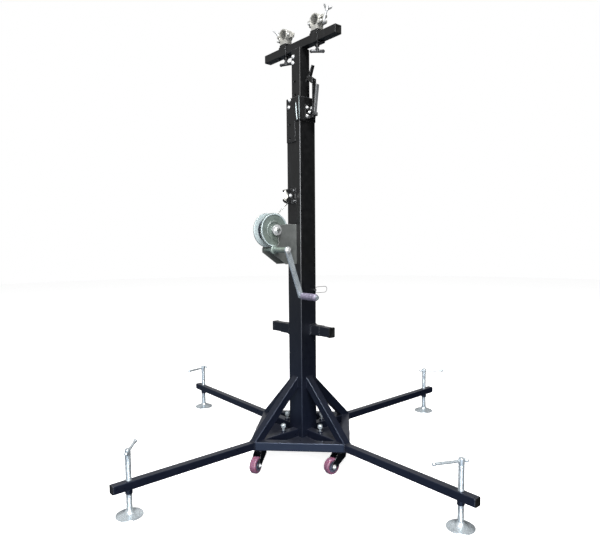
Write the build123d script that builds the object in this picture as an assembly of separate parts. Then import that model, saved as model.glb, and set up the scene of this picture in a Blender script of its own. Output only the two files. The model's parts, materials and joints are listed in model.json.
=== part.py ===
from build123d import *
import math
import os

# Crank lighting stand: a square-tube telescopic mast on a four-legged base, raised by a hand winch.
# Origin on the floor on the mast's axis. +Z up, +X along the top bar, the winch on the -Y face.

# ---- driving dimensions, mm ----
# base frame
TUBE = 40.0
TUBE_WALL = 2.2
BASE_LOW = 107.0
SOCKET_REACH = 322.0
FRAME_OUT = 237.6
WELD_BITE = 1.5
BRACE_TOP = 416.0
BRACE_FOOT_REACH = 319.0
FLOOR_PLATE = 2.0

# legs, named by the side of the stand they point to
LEGS = {"right": 0.0, "back": 90.0, "left": 180.0, "front": -90.0}
JACK_REACH = {"right": 923.0, "back": 1023.0, "left": 1023.0, "front": 923.0}
TUBE_PAST_JACK = 67.0
OUTRIGGER = 35.0
OUTRIGGER_WALL = 3.0
OUTRIGGER_INNER_END = 100.0
LOCK_REACH = 130.0
LOCK_HOLE_PITCH = 45.0
LOCK_PIN_R = 6.0

# screw jacks
JACK_SCREW_R = 12.0
RUNNING = 0.08
JACK_TOP = 275.0
JACK_BAR_Z = 262.0
JACK_BAR_R = 6.0
JACK_BAR_HALF = 68.0
JACK_BAR_OFFSET = 46.5
JACK_BAR_DIRECTION = {"right": -117.0, "back": 48.0, "left": -79.0, "front": 143.0}
FOOT_R = 55.0
FOOT_HUB_TOP = 26.0
BOSS_R = 15.0
BOSS_LOW = 92.0

# casters
CASTER_REACH = 270.0
CASTER_TRAIL = 54.0
CASTER_DIRECTION = {"right": -93.0, "back": -78.0, "left": -105.0, "front": -63.0}
WHEEL_R = 38.5
WHEEL_WIDTH = 32.0
WHEEL_Z = 39.5
CASTER_PLATE = 4.0
FORK_SHEET = 3.0
RACE_R = 22.0
RACE_DEPTH = 9.0

# mast
OUTER = 100.0
MIDDLE = 80.0
INNER = 64.0
MAST_WALL = 3.0
OUTER_LOW = 107.0
OUTER_TOP = 1788.0
MIDDLE_LOW = 125.0
MIDDLE_TOP = 1796.0
INNER_LOW = 150.0
PIN_HOLE_R = 6.5
INNER_PIN_HOLES = (1875.0, 1811.0)
INNER_HOLE_X = -5.5
PLATE_PIN_HOLES = (1665.0, 1599.0)
PLATE_HOLE_X = -17.0

# top bar and its clamps
BAR = 40.0
BAR_LOW = 2029.5
BAR_HALF = 264.0
BAR_WALL = 3.0
BAR_HOLE_X = 154.0
SLEEVE = 50.0
SLEEVE_LENGTH = 54.0
SLEEVE_PAD = 10.0
SLEEVE_X = {"right": 123.0, "left": -112.0}
HANDLE_HALF = 28.0
HANDLE_R = 7.0
HANDLE_BALL_R = 8.0
SLEEVE_SCREW_R = 6.0
SCREW_DROP = 41.0
SCREW_HUB_R = 9.0
SCREW_HUB = 16.0
HANDLE_DIRECTION = {"right": 50.0, "left": 25.0}
CLAMP_R = 25.0
CLAMP_Z = 2128.0
CLAMP_WIDTH = 42.0
CLAMP_SHELL = 6.0
HINGE_X = 39.0
SWING_X = 43.0
SWING_Z = -14.0
BOLT_LEAN = 28.0

# head fittings
COLLAR_LOW = 1678.0
COLLAR_TOP = 1791.0
FRONT_PLATE_LOW = 1581.0
LATCH_X = 97.0
LATCH_LOW = 1700.0
LATCH_TOP = 1862.0

# guide pulley and winch on the -Y face
ROPE_X = -22.0
ROPE_R = 3.0
ROPE_Y = -43.5
ROPE_SLOT_HALF = 10.0
PULLEY_PITCH_R = 25.5
PULLEY_Z = 1321.0
PULLEY_OUT_R = 28.4
PULLEY_AXLE_R = 6.0
DRUM_Y = -178.0
DRUM_Z = 1151.0
DRUM_R = 30.0
DISC_R = 83.0
MODULE = 2.5
GEAR_TEETH = 64
PINION_TEETH = 12
GEAR_X = 1.0
GEAR_WIDTH = 8.0
CHEEK_NEAR_X = 15.0
CHEEK_FAR_X = -57.0
CHEEK = 4.0
DRUM_AXLE_R = 8.0
PINION_SHAFT_R = 8.0
PINION_DROP_Y = -9.0
ARM_X = 112.0
ARM = 9.0
CRANK_LENGTH = 233.0
GRIP_R = 17.0
GRIP_X = 127.0
GRIP_LENGTH = 103.0

# brackets for the stowed legs, and the retaining ring
STOW_LOW = 627.0
STOW_HIGH = 677.0
STOW_END = 185.0
STOW_ROOT_END = 115.0
RING_Z = 852.0


# ---- small helpers ----
def save(name, *shapes):
    """One file per named piece; several loose solids go in as one group."""
    solids = [s for shape in shapes for s in shape.solids()]
    piece = solids[0] if len(solids) == 1 else Compound(children=solids)
    piece.label = name
    export_step(piece, "parts/" + name + ".step")


def block(x0, x1, y0, y1, z0, z1):
    size = (abs(x1 - x0), abs(y1 - y0), abs(z1 - z0))
    return Pos((x0 + x1) / 2, (y0 + y1) / 2, (z0 + z1) / 2) * Box(*size)


def rod(start, direction, radius, length):
    return extrude(Plane(origin=start, z_dir=direction) * Circle(radius), amount=length)


def square_section(side, wall, corner):
    return RectangleRounded(side, side, corner) - RectangleRounded(
        side - 2 * wall, side - 2 * wall, max(corner - wall, 0.6)
    )


def upright_tube(side, wall, low, top, corner=4.0):
    return extrude(Pos(0, 0, low) * square_section(side, wall, corner), amount=top - low)


def along_x(section, start, length, y=0.0, z=0.0):
    """A section whose own x runs along Y and own y along Z, pushed out along +X."""
    plane = Plane(origin=(start, y, z), x_dir=(0, 1, 0), z_dir=(1, 0, 0))
    return extrude(plane * section, amount=length)


def turned(shape, angle):
    return Rot(0, 0, angle) * shape


def plate_yz(points, x, thickness):
    """A flat plate cut to an outline of (y, z) points, its near face at x."""
    plane = Plane(origin=(x, 0, 0), x_dir=(0, 1, 0), z_dir=(1, 0, 0))
    return extrude(plane * Polygon(*points, align=None), amount=thickness, dir=(1, 0, 0))


def plate_xz(points, y, thickness):
    """A flat plate cut to an outline of (x, z) points, from y towards -Y."""
    plane = Plane(origin=(0, y, 0), x_dir=(1, 0, 0), z_dir=(0, -1, 0))
    return extrude(plane * Polygon(*points, align=None), amount=thickness, dir=(0, -1, 0))


def spun(points, origin, axis):
    """A turned piece from (radius, height) points, its foot at origin, standing along axis."""
    profile = Plane.XZ * Polygon(*points, align=None)
    return Plane(origin=origin, z_dir=axis) * revolve(profile, Axis.Z)


# ---- base frame ----
def base_frame():
    low = BASE_LOW
    mid = low + TUBE / 2
    section = square_section(TUBE, TUBE_WALL, 3.0)
    mast_face = OUTER / 2
    frame = None
    for angle in LEGS.values():
        socket = along_x(section, mast_face, SOCKET_REACH - mast_face, z=mid)
        socket -= rod((LOCK_REACH, 0, mid), (0, 0, 1), LOCK_PIN_R + 0.1, TUBE)
        nut = rod((LOCK_REACH, 0, low + TUBE), (0, 0, 1), 14.0, 8.0)
        nut -= rod((LOCK_REACH, 0, low + TUBE - 1), (0, 0, 1), LOCK_PIN_R + RUNNING, 12.0)
        leg = socket + nut + brace()
        frame = turned(leg, angle) if frame is None else frame + turned(leg, angle)
    for angle in LEGS.values():
        frame += turned(side_tube(), angle + 45.0)
    return frame + floor_plate()


def floor_plate():
    """A thin plate that closes the square frame from below, cut out round the mast."""
    half = FRAME_OUT - TUBE + WELD_BITE
    plate = turned(block(-half, half, -half, half, BASE_LOW, BASE_LOW + FLOOR_PLATE), 45.0)
    mast = OUTER / 2
    return plate - block(-mast, mast, -mast, mast, BASE_LOW - 1, BASE_LOW + FLOOR_PLATE + 1)


def brace():
    """A sloping tube from a socket's mouth up to the mast face, its foot let into the socket's wall."""
    run = BRACE_FOOT_REACH - OUTER / 2
    foot_z = BASE_LOW + TUBE
    rise = BRACE_TOP - foot_z
    slope = math.atan2(rise, run)
    long = math.hypot(run, rise) + 4 * TUBE
    direction = (-math.cos(slope), 0, math.sin(slope))
    middle = (OUTER / 2 + run / 2, 0, foot_z + rise / 2)
    inward = (-math.sin(slope), 0, -math.cos(slope))
    start = [m - d * long / 2 + i * TUBE / 2 for m, d, i in zip(middle, direction, inward)]
    plane = Plane(origin=start, x_dir=(0, 1, 0), z_dir=direction)
    tube = extrude(plane * square_section(TUBE, TUBE_WALL, 3.0), amount=long)
    window = block(OUTER / 2, 400, -TUBE, TUBE, foot_z - WELD_BITE, 700)
    return tube & window


def side_tube():
    """One side of the square frame, its ends cut along the socket sides and let into their walls."""
    mid = FRAME_OUT - TUBE / 2
    section = square_section(TUBE, TUBE_WALL, 3.0)
    plane = Plane(origin=(mid, -FRAME_OUT - 60, BASE_LOW + TUBE / 2), x_dir=(1, 0, 0), z_dir=(0, 1, 0))
    tube = extrude(plane * section, amount=2 * FRAME_OUT + 120)
    reach = SOCKET_REACH + 60
    wedge = Polygon((0, 0), (reach, -reach), (reach, reach), align=None)
    room = extrude(Pos(0, 0, BASE_LOW - 5) * wedge, amount=TUBE + 10)
    shift = (TUBE / 2 - WELD_BITE) * math.sqrt(2)
    return tube & (Pos(shift, 0, 0) * room)


# ---- legs ----
def outrigger(side):
    """A leg tube with a closed outer end, a jack boss and two lock holes."""
    reach = JACK_REACH[side]
    mid = BASE_LOW + TUBE / 2
    end = reach + TUBE_PAST_JACK
    section = square_section(OUTRIGGER, OUTRIGGER_WALL, 3.0)
    tube = along_x(section, OUTRIGGER_INNER_END, end - OUTRIGGER_INNER_END, z=mid)
    tube += along_x(RectangleRounded(OUTRIGGER - 1, OUTRIGGER - 1, 2.5), end - 3, 6, z=mid)
    tube += rod((reach, 0, BOSS_LOW), (0, 0, 1), BOSS_R, mid + OUTRIGGER / 2 + 2 - BOSS_LOW)
    tube -= rod((reach, 0, BOSS_LOW - 5), (0, 0, 1), JACK_SCREW_R + RUNNING, 80)
    for k in range(2):
        hole_x = LOCK_REACH + k * LOCK_HOLE_PITCH
        tube -= rod((hole_x, 0, mid), (0, 0, 1), LOCK_PIN_R + 0.5, OUTRIGGER)
    return turned(tube, LEGS[side])


def outrigger_lock(side):
    """A knurled spring plunger that stands on the socket; its tip is clear of the leg at rest."""
    tip = BASE_LOW + TUBE / 2 + OUTRIGGER / 2 + 0.5
    top = BASE_LOW + TUBE + 8
    points = [(0, tip), (LOCK_PIN_R, tip), (LOCK_PIN_R, top + 12), (12, top + 13), (12, top + 30)]
    points += [(10, top + 33), (4, top + 34), (0, top + 34)]
    return turned(spun(points, (LOCK_REACH, 0, 0), (0, 0, 1)), LEGS[side])


def jack_place(side):
    angle = math.radians(LEGS[side])
    return JACK_REACH[side] * math.cos(angle), JACK_REACH[side] * math.sin(angle)


def jack_screw(side):
    x, y = jack_place(side)
    points = [(0, 10), (7, 10), (7, FOOT_HUB_TOP + 1), (JACK_SCREW_R, FOOT_HUB_TOP + 3)]
    points += [(JACK_SCREW_R, JACK_TOP - 2), (JACK_SCREW_R - 2, JACK_TOP), (0, JACK_TOP)]
    screw = spun(points, (x, y, 0), (0, 0, 1))
    direction = bar_direction(side)
    start = (x - 20 * direction[0], y - 20 * direction[1], JACK_BAR_Z)
    return screw - rod(start, direction, JACK_BAR_R + RUNNING, 40)


def bar_direction(side):
    angle = math.radians(JACK_BAR_DIRECTION[side])
    return (math.cos(angle), math.sin(angle), 0)


def jack_bar(side):
    """A tommy bar with a ball at each end, pushed through to one side."""
    x, y = jack_place(side)
    dx, dy, _ = bar_direction(side)
    low = JACK_BAR_OFFSET - JACK_BAR_HALF
    high = JACK_BAR_OFFSET + JACK_BAR_HALF
    start = (x + low * dx, y + low * dy, JACK_BAR_Z)
    bar = rod(start, (dx, dy, 0), JACK_BAR_R, high - low)
    for end in (low, high):
        bar += Pos(x + end * dx, y + end * dy, JACK_BAR_Z) * Sphere(8.5)
    return bar


def jack_foot(side):
    x, y = jack_place(side)
    points = [(0, 0), (FOOT_R, 0), (FOOT_R, 4), (50, 6), (30, 11), (19, 17)]
    points += [(15, FOOT_HUB_TOP), (7 + RUNNING, FOOT_HUB_TOP), (7 + RUNNING, 9.9), (0, 9.9)]
    return spun(points, (x, y, 0), (0, 0, 1))


# ---- casters ----
def caster_place(side):
    angle = math.radians(LEGS[side])
    return CASTER_REACH * math.cos(angle), CASTER_REACH * math.sin(angle)


def wheel_place(side):
    x, y = caster_place(side)
    trail = math.radians(CASTER_DIRECTION[side])
    return x + CASTER_TRAIL * math.cos(trail), y + CASTER_TRAIL * math.sin(trail)


def caster_plates():
    plates = []
    for side, angle in LEGS.items():
        plate = extrude(RectangleRounded(68, 46, 5), amount=CASTER_PLATE)
        plate -= Cylinder(6.1, 20)
        for sx in (-1, 1):
            plate += Pos(sx * 28, 0, -2.75) * Cylinder(5, 5.5)
        x, y = caster_place(side)
        plates.append(Pos(x, y, BASE_LOW - CASTER_PLATE) * Rot(0, 0, angle) * plate)
    return plates


def caster_fork(side):
    """A swivel race, a king pin and a bent fork: a crown, a web behind it and two legs beside the wheel."""
    top = BASE_LOW - CASTER_PLATE - 0.5
    crown = top - RACE_DEPTH
    race = Pos(0, 0, crown) * Cylinder(RACE_R, RACE_DEPTH, align=(Align.CENTER, Align.CENTER, Align.MIN))
    race += Pos(0, 0, top) * Cylinder(6, 4.4, align=(Align.CENTER, Align.CENTER, Align.MIN))
    inner = WHEEL_WIDTH / 2 + 2.0
    outer = inner + FORK_SHEET
    outline = [(-22, crown), (32, crown), (CASTER_TRAIL + 13, WHEEL_Z + 10)]
    outline += [(CASTER_TRAIL + 11, WHEEL_Z - 10), (CASTER_TRAIL - 11, WHEEL_Z - 10), (-18, top - 30)]
    fork = race + block(-22, 24, -outer, outer, crown - FORK_SHEET, crown + 0.1)
    fork += block(2, 2 + FORK_SHEET, -outer, outer, WHEEL_Z + 18, crown)
    for y in (outer, -inner):
        fork += plate_xz(outline, y, FORK_SHEET)
    axle = rod((CASTER_TRAIL, -outer - 7, WHEEL_Z), (0, 1, 0), 4, 2 * outer + 14)
    nut = Plane(origin=(CASTER_TRAIL, outer, WHEEL_Z), z_dir=(0, 1, 0)) * RegularPolygon(7, 6)
    head = Plane(origin=(CASTER_TRAIL, -outer, WHEEL_Z), z_dir=(0, -1, 0)) * RegularPolygon(7, 6)
    fork += axle + extrude(nut, amount=6) + extrude(head, amount=5)
    x, y = caster_place(side)
    return Pos(x, y, 0) * Rot(0, 0, CASTER_DIRECTION[side]) * fork


def caster_wheel(side):
    half = WHEEL_WIDTH / 2
    rim = WHEEL_R - 11
    bore = 4 + RUNNING
    points = [(bore, -half - 1.5), (10, -half - 1.5), (10, -half + 3), (rim, -half + 3), (rim, -half)]
    points += [(WHEEL_R - 4, -half), (WHEEL_R, -half + 6), (WHEEL_R, half - 6), (WHEEL_R - 4, half)]
    points += [(rim, half), (rim, half - 3), (10, half - 3), (10, half + 1.5), (bore, half + 1.5)]
    wheel = Pos(CASTER_TRAIL, 0, WHEEL_Z) * Rot(90, 0, 0) * spun(points, (0, 0, 0), (0, 0, 1))
    x, y = caster_place(side)
    return Pos(x, y, 0) * Rot(0, 0, CASTER_DIRECTION[side]) * wheel


# ---- mast ----
def mast_outer():
    tube = upright_tube(OUTER, MAST_WALL, OUTER_LOW, OUTER_TOP, 5.0)
    tube += block(-48, 48, -48, 48, OUTER_LOW, OUTER_LOW + 6)
    slot_low, slot_high = PULLEY_Z - 36, PULLEY_Z + 40
    tube -= block(ROPE_X - ROPE_SLOT_HALF, ROPE_X + ROPE_SLOT_HALF, -60, -40, slot_low, slot_high)
    for z in PLATE_PIN_HOLES:
        tube -= rod((PLATE_HOLE_X, -60, z), (0, 1, 0), PIN_HOLE_R, 20)
    return tube


def mast_middle():
    return upright_tube(MIDDLE, MAST_WALL, MIDDLE_LOW, MIDDLE_TOP)


def mast_inner():
    tube = upright_tube(INNER, MAST_WALL, INNER_LOW, BAR_LOW)
    for z in INNER_PIN_HOLES:
        tube -= rod((INNER_HOLE_X, -40, z), (0, 1, 0), PIN_HOLE_R, 20)
    return tube


def slide_pads():
    """Nylon pads on the outer tube's inner walls, just clear of the middle tube."""
    inner_wall = OUTER / 2 - MAST_WALL
    face = MIDDLE / 2 + 0.1
    pads = []
    for angle in LEGS.values():
        for y in (-24, 24):
            pad = block(face, inner_wall, y - 9, y + 9, OUTER_TOP - 90, OUTER_TOP + 1)
            pads.append(turned(pad, angle))
    return pads


# ---- top bar and clamps ----
def t_bar():
    mid = BAR_LOW + BAR / 2
    tube = along_x(square_section(BAR, BAR_WALL, 3.0), -BAR_HALF + 3, 2 * BAR_HALF - 6, z=mid)
    for end in (-BAR_HALF, BAR_HALF - 4):
        tube += along_x(RectangleRounded(BAR, BAR, 3.0), end, 4, z=mid)
    for side in (-1, 1):
        tube -= rod((side * BAR_HOLE_X, 0, BAR_LOW - 5), (0, 0, 1), 12, 12)
    return tube


def sleeve(side):
    mid = BAR_LOW + BAR / 2
    x = SLEEVE_X[side]
    section = square_section(SLEEVE, 4.0, 4.0)
    tube = along_x(section, x - SLEEVE_LENGTH / 2, SLEEVE_LENGTH, z=mid)
    bottom, top = mid - SLEEVE / 2, mid + SLEEVE / 2
    tube += block(x - 25, x + 25, -21, 21, top - 1, top + SLEEVE_PAD)
    tube += rod((x, 0, bottom - 12), (0, 0, 1), 11, 13)
    return tube - rod((x, 0, bottom - 20), (0, 0, 1), SLEEVE_SCREW_R + RUNNING, 30)


def sleeve_screw(side):
    """A T-handled screw whose tip bears on the underside of the top bar."""
    low = BAR_LOW - SCREW_DROP
    up = (0, 0, 1)
    screw = rod((0, 0, low), up, SLEEVE_SCREW_R, BAR_LOW - 0.1 - low)
    screw += rod((0, 0, low - 2), up, SCREW_HUB_R, SCREW_HUB)
    handle_z = low + 2
    screw += rod((-HANDLE_HALF, 0, handle_z), (1, 0, 0), HANDLE_R, 2 * HANDLE_HALF)
    for end in (-HANDLE_HALF, HANDLE_HALF):
        screw += Pos(end, 0, handle_z) * Sphere(HANDLE_BALL_R)
    return Pos(SLEEVE_X[side], 0, 0) * Rot(0, 0, HANDLE_DIRECTION[side]) * screw


def clamp_at(side, shape):
    """Places a clamp piece drawn with its hinge on -X; the left clamp is its mirror image."""
    placed = shape if side == "right" else mirror(shape, Plane.YZ)
    return Pos(SLEEVE_X[side], 0, CLAMP_Z) * placed


def half_ring(low_half):
    width = CLAMP_WIDTH
    ring = rod((0, -width / 2, 0), (0, 1, 0), CLAMP_R + CLAMP_SHELL, width)
    z0, z1 = (-80, -0.6) if low_half else (0.6, 80)
    return ring & block(-80, 80, -width, width, z0, z1)


def clamp_saddle(side):
    """The fixed half: a foot on the sleeve, half of the bore, one hinge lug and two bolt ears."""
    foot = BAR_LOW + BAR / 2 + SLEEVE / 2 + SLEEVE_PAD - CLAMP_Z
    body = half_ring(True)
    body += block(-20, 20, -21, 21, foot, -20)
    body += block(-HINGE_X - 8, -26, -9, 9, -18, -0.6)
    body += rod((-HINGE_X, -9, -4), (0, 1, 0), 8, 18)
    for y0, y1 in ((-18, -7), (7, 18)):
        body += block(26, SWING_X, y0, y1, SWING_Z - 8, SWING_Z + 8)
        body += rod((SWING_X, y0, SWING_Z), (0, 1, 0), 8, y1 - y0)
    body -= rod((0, -40, 0), (0, 1, 0), CLAMP_R, 80)
    body -= rod((-HINGE_X, -40, -4), (0, 1, 0), 4, 80)
    body += rod((-HINGE_X, -19, -4), (0, 1, 0), 4, 38)
    body -= block(24, 60, -7, 7, -40, -0.5) - rod((0, -40, 0), (0, 1, 0), CLAMP_R + CLAMP_SHELL, 80)
    return clamp_at(side, body)


def clamp_jaw(side):
    """The moving half: two hinge ears and a forked lug over the swing bolt."""
    body = half_ring(False)
    for y0, y1 in ((-18, -9.2), (9.2, 18)):
        ear = rod((-HINGE_X, y0, -4), (0, 1, 0), 8, y1 - y0)
        ear += block(-HINGE_X - 8, -26, y0, y1, 0.6, 8)
        body += ear
    body += block(26, SWING_X + 11, -14, 14, 1.5, 13)
    body -= rod((0, -40, 0), (0, 1, 0), CLAMP_R, 80)
    body -= block(SWING_X - 7.5, 80, -6, 6, -20, 40)
    body -= block(-60, -26, -9.2, 9.2, -30, 8.5) - rod((0, -40, 0), (0, 1, 0), CLAMP_R + CLAMP_SHELL, 80)
    for y0 in (-18, 9.2):
        body -= rod((-HINGE_X, y0 - 1, -4), (0, 1, 0), 4 + RUNNING, 11)
    return clamp_at(side, body)


def clamp_bolt(side):
    """An eye bolt that leans loose out of the jaw's fork, and its wing nut."""
    eye = rod((SWING_X, -6.5, SWING_Z), (0, 1, 0), 9, 13)
    bolt = eye + rod((SWING_X, 0, SWING_Z), (0, 0, 1), 5, 68)
    nut_low = SWING_Z + 49
    nut = spun([(5, 0), (8, 0), (7, 11), (5, 11)], (SWING_X, 0, nut_low), (0, 0, 1))
    wing = [(5.5, 2), (9, 1), (24, 12), (26, 19), (21, 22), (15, 15), (5.5, 10)]
    for sign in (-1, 1):
        points = [(sign * y, nut_low + z) for y, z in wing]
        nut += plate_yz(points, SWING_X - 2, 4)
    lean = Pos(SWING_X, 0, SWING_Z) * Rot(0, BOLT_LEAN, 0) * Pos(-SWING_X, 0, -SWING_Z)
    return clamp_at(side, lean * bolt), clamp_at(side, lean * nut)


# ---- head fittings ----
def head_collar():
    """Plates wrapped round the near corner of the outer tube's head, and the pin plate below."""
    face = OUTER / 2
    front = plate_xz([(-42, FRONT_PLATE_LOW), (22, FRONT_PLATE_LOW), (22, COLLAR_LOW), (57, COLLAR_LOW),
                      (57, COLLAR_TOP), (-42, COLLAR_TOP)], -face, 7)
    side = block(face, face + 7, -face - 7, 46, COLLAR_LOW, COLLAR_TOP)
    strap = plate_xz([(44, COLLAR_LOW + 4), (60, COLLAR_LOW + 4), (60, COLLAR_TOP - 3), (41, COLLAR_TOP - 3),
                      (41, COLLAR_TOP - 20)], -face - 7, 3)
    strap += block(face + 7, face + 10, -face - 10, -30, COLLAR_LOW + 4, COLLAR_TOP - 3)
    collar = front + side + strap
    for z in PLATE_PIN_HOLES:
        collar -= rod((PLATE_HOLE_X, -70, z), (0, 1, 0), PIN_HOLE_R, 30)
    return collar


def latch_bracket():
    """A bolted plate with an arm that stands off the mast and rises past its head."""
    face = OUTER / 2 + 7
    plate = block(face, face + 5, -24, 28, 1688, 1754)
    arm = block(face + 4, LATCH_X + 3, -9, 9, LATCH_LOW - 12, LATCH_LOW)
    arm += block(LATCH_X - 3, LATCH_X + 3, -9, 9, LATCH_LOW - 12, LATCH_TOP)
    for y0, y1 in ((-13, -8), (8, 13)):
        arm += plate_xz([(LATCH_X - 3, LATCH_TOP - 14), (LATCH_X + 3, LATCH_TOP - 14),
                         (LATCH_X + 3, LATCH_TOP + 8), (72, LATCH_TOP + 26), (60, LATCH_TOP + 26),
                         (60, LATCH_TOP + 12)], y1, y1 - y0)
    arm += block(LATCH_X - 3, LATCH_X + 3, -13, 13, LATCH_TOP - 14, LATCH_TOP)
    foot_x = LATCH_X + 9
    for y0 in (-11.5, 8.5):
        arm += block(LATCH_X + 2, foot_x + 6, y0, y0 + 3, LATCH_LOW - 4, LATCH_LOW + 12)
    pin = rod((67, -15, LATCH_TOP + 19), (0, 1, 0), 3.5, 30)
    pin += rod((foot_x, -13, LATCH_LOW + 4), (0, 1, 0), 2.5, 26)
    bolts = None
    for y in (-12, 16):
        for z in (1701, 1741):
            head = Plane(origin=(face + 5, y, z), z_dir=(1, 0, 0)) * RegularPolygon(6, 6)
            bolts = extrude(head, amount=4) if bolts is None else bolts + extrude(head, amount=4)
    return plate + arm + pin + bolts


def latch_pawl():
    """A pawl whose nose stands by the inner tube and whose handle flares up and out."""
    nose = MIDDLE / 2 + 5
    outline = [(nose, LATCH_TOP + 6), (49, LATCH_TOP + 4), (62, LATCH_TOP + 12), (72, LATCH_TOP + 16),
               (96, LATCH_TOP + 70), (90, LATCH_TOP + 74), (64, LATCH_TOP + 27), (nose, LATCH_TOP + 14)]
    pawl = plate_xz(outline, 7.5, 15)
    return pawl - rod((67, -20, LATCH_TOP + 19), (0, 1, 0), 3.5 + RUNNING, 40)


def latch_release():
    """A sprung release blade that leans away from the arm, hinged at its foot."""
    foot_x = LATCH_X + 9
    outline = [(foot_x - 3.5, LATCH_LOW + 2), (foot_x + 1, LATCH_LOW + 2),
               (LATCH_X + 30, LATCH_LOW + 138), (LATCH_X + 22, LATCH_LOW + 142)]
    blade = plate_xz(outline, 8, 16)
    blade += rod((foot_x, -8, LATCH_LOW + 4), (0, 1, 0), 5, 16)
    return blade - rod((foot_x, -20, LATCH_LOW + 4), (0, 1, 0), 2.5 + RUNNING, 40)


# ---- guide pulley ----
def pulley_y():
    return ROPE_Y - PULLEY_PITCH_R - ROPE_R + 3.0


def pulley_bracket():
    face = -OUTER / 2
    low, high = PULLEY_Z - 38, PULLEY_Z + 36
    plate = block(-50, 22, face - 5, face, low, high)
    slot = ROPE_SLOT_HALF
    plate -= block(ROPE_X - slot, ROPE_X + slot, face - 10, face + 5, PULLEY_Z - 32, PULLEY_Z + 32)
    y = pulley_y()
    for x in (ROPE_X - slot - 4, ROPE_X + slot + 1):
        cheek = plate_yz([(face - 5, low), (face - 30, low + 4), (face - 41, low + 13), (face - 41, low + 20),
                          (y - 9, PULLEY_Z - 9), (y - 9, PULLEY_Z + 9), (face - 41, high - 15),
                          (face - 41, high - 8), (face - 5, high)], x, 3)
        plate += cheek
    axle = rod((ROPE_X - slot - 5, y, PULLEY_Z), (1, 0, 0), PULLEY_AXLE_R, 2 * slot + 10)
    axle += rod((ROPE_X + slot + 4, y, PULLEY_Z), (1, 0, 0), 9, 6)
    for z in (low + 11, high - 11):
        axle += rod((15, face - 5, z), (0, -1, 0), 6, 5)
    return plate + axle


def guide_pulley():
    half = 7.0
    groove = PULLEY_PITCH_R - ROPE_R - 0.1
    bore = PULLEY_AXLE_R + RUNNING
    points = [(bore, -half - 1), (12, -half - 1), (12, -half + 1), (PULLEY_OUT_R - 3, -half)]
    points += [(PULLEY_OUT_R, -half + 1.5), (groove, -3.2), (groove, 3.2), (PULLEY_OUT_R, half - 1.5)]
    points += [(PULLEY_OUT_R - 3, half), (12, half - 1), (12, half + 1), (bore, half + 1)]
    return spun(points, (ROPE_X, pulley_y(), PULLEY_Z), (1, 0, 0))


# ---- winch ----
def pinion_place():
    centres = MODULE * (GEAR_TEETH + PINION_TEETH) / 2
    drop = math.sqrt(centres**2 - PINION_DROP_Y**2)
    return DRUM_Y + PINION_DROP_Y, DRUM_Z - drop


def involute_point(base_r, radius, turn):
    roll = math.sqrt(max((radius / base_r) ** 2 - 1, 0.0))
    swing = roll - math.atan(roll)
    return radius, turn + swing


def gear_outline(teeth, addendum, dedendum, thin, phase):
    """Points of a spur gear with involute flanks, thinned at the pitch circle by thin mm."""
    pitch_r = MODULE * teeth / 2
    base_r = pitch_r * math.cos(math.radians(20))
    tip_r, root_r = pitch_r + addendum, pitch_r - dedendum
    half_tooth = (math.pi * MODULE / 2 - thin) / 2 / pitch_r
    _, pitch_swing = involute_point(base_r, pitch_r, 0.0)
    start_r = max(base_r, root_r)
    steps = 5
    points = []
    for k in range(teeth):
        centre = phase + 2 * math.pi * k / teeth
        flank = []
        for n in range(steps + 1):
            radius = start_r + (tip_r - start_r) * n / steps
            _, swing = involute_point(base_r, radius, 0.0)
            flank.append((radius, half_tooth + pitch_swing - swing))
        rising = [(root_r, -flank[0][1])] + [(r, -a) for r, a in flank]
        falling = [(r, a) for r, a in reversed(flank)] + [(root_r, flank[0][1])]
        for radius, angle in rising + falling:
            turn = centre + angle
            points.append((radius * math.cos(turn), radius * math.sin(turn)))
    return points


def gear_disc(teeth, addendum, dedendum, thin, phase, y, z, x, width):
    points = gear_outline(teeth, addendum, dedendum, thin, phase)
    plane = Plane(origin=(x, y, z), x_dir=(0, 1, 0), z_dir=(1, 0, 0))
    return extrude(plane * Polygon(*points, align=None), amount=width, dir=(1, 0, 0))


def mesh_angle():
    """Direction from the drum's axle to the pinion's, in the (y, z) plane."""
    y, z = pinion_place()
    return math.atan2(z - DRUM_Z, y - DRUM_Y)


def winch_drum():
    centre = (CHEEK_FAR_X + CHEEK + 0.6, DRUM_Y, DRUM_Z)
    far = centre[0]
    near = GEAR_X + GEAR_WIDTH
    gear = gear_disc(GEAR_TEETH, 0.7 * MODULE, 1.25 * MODULE, 0.5, mesh_angle(), DRUM_Y, DRUM_Z,
                     GEAR_X, GEAR_WIDTH)
    barrel = rod((far, DRUM_Y, DRUM_Z), (1, 0, 0), DRUM_R, GEAR_X - far)
    flange = rod((far + 2, DRUM_Y, DRUM_Z), (1, 0, 0), DISC_R, 4)
    flange -= rod((far + 4.5, DRUM_Y, DRUM_Z), (1, 0, 0), DISC_R - 8, 10) - rod(
        (far, DRUM_Y, DRUM_Z), (1, 0, 0), 50, 20
    )
    hub = rod((near, DRUM_Y, DRUM_Z), (1, 0, 0), 20, CHEEK_NEAR_X - near - 0.6)
    ring = rod((near, DRUM_Y, DRUM_Z), (1, 0, 0), 44, 2.5) - rod((near, DRUM_Y, DRUM_Z), (1, 0, 0), 38, 2.5)
    drum = gear + barrel + flange + hub + ring
    return drum - rod((far - 5, DRUM_Y, DRUM_Z), (1, 0, 0), DRUM_AXLE_R + RUNNING, 100)


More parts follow.
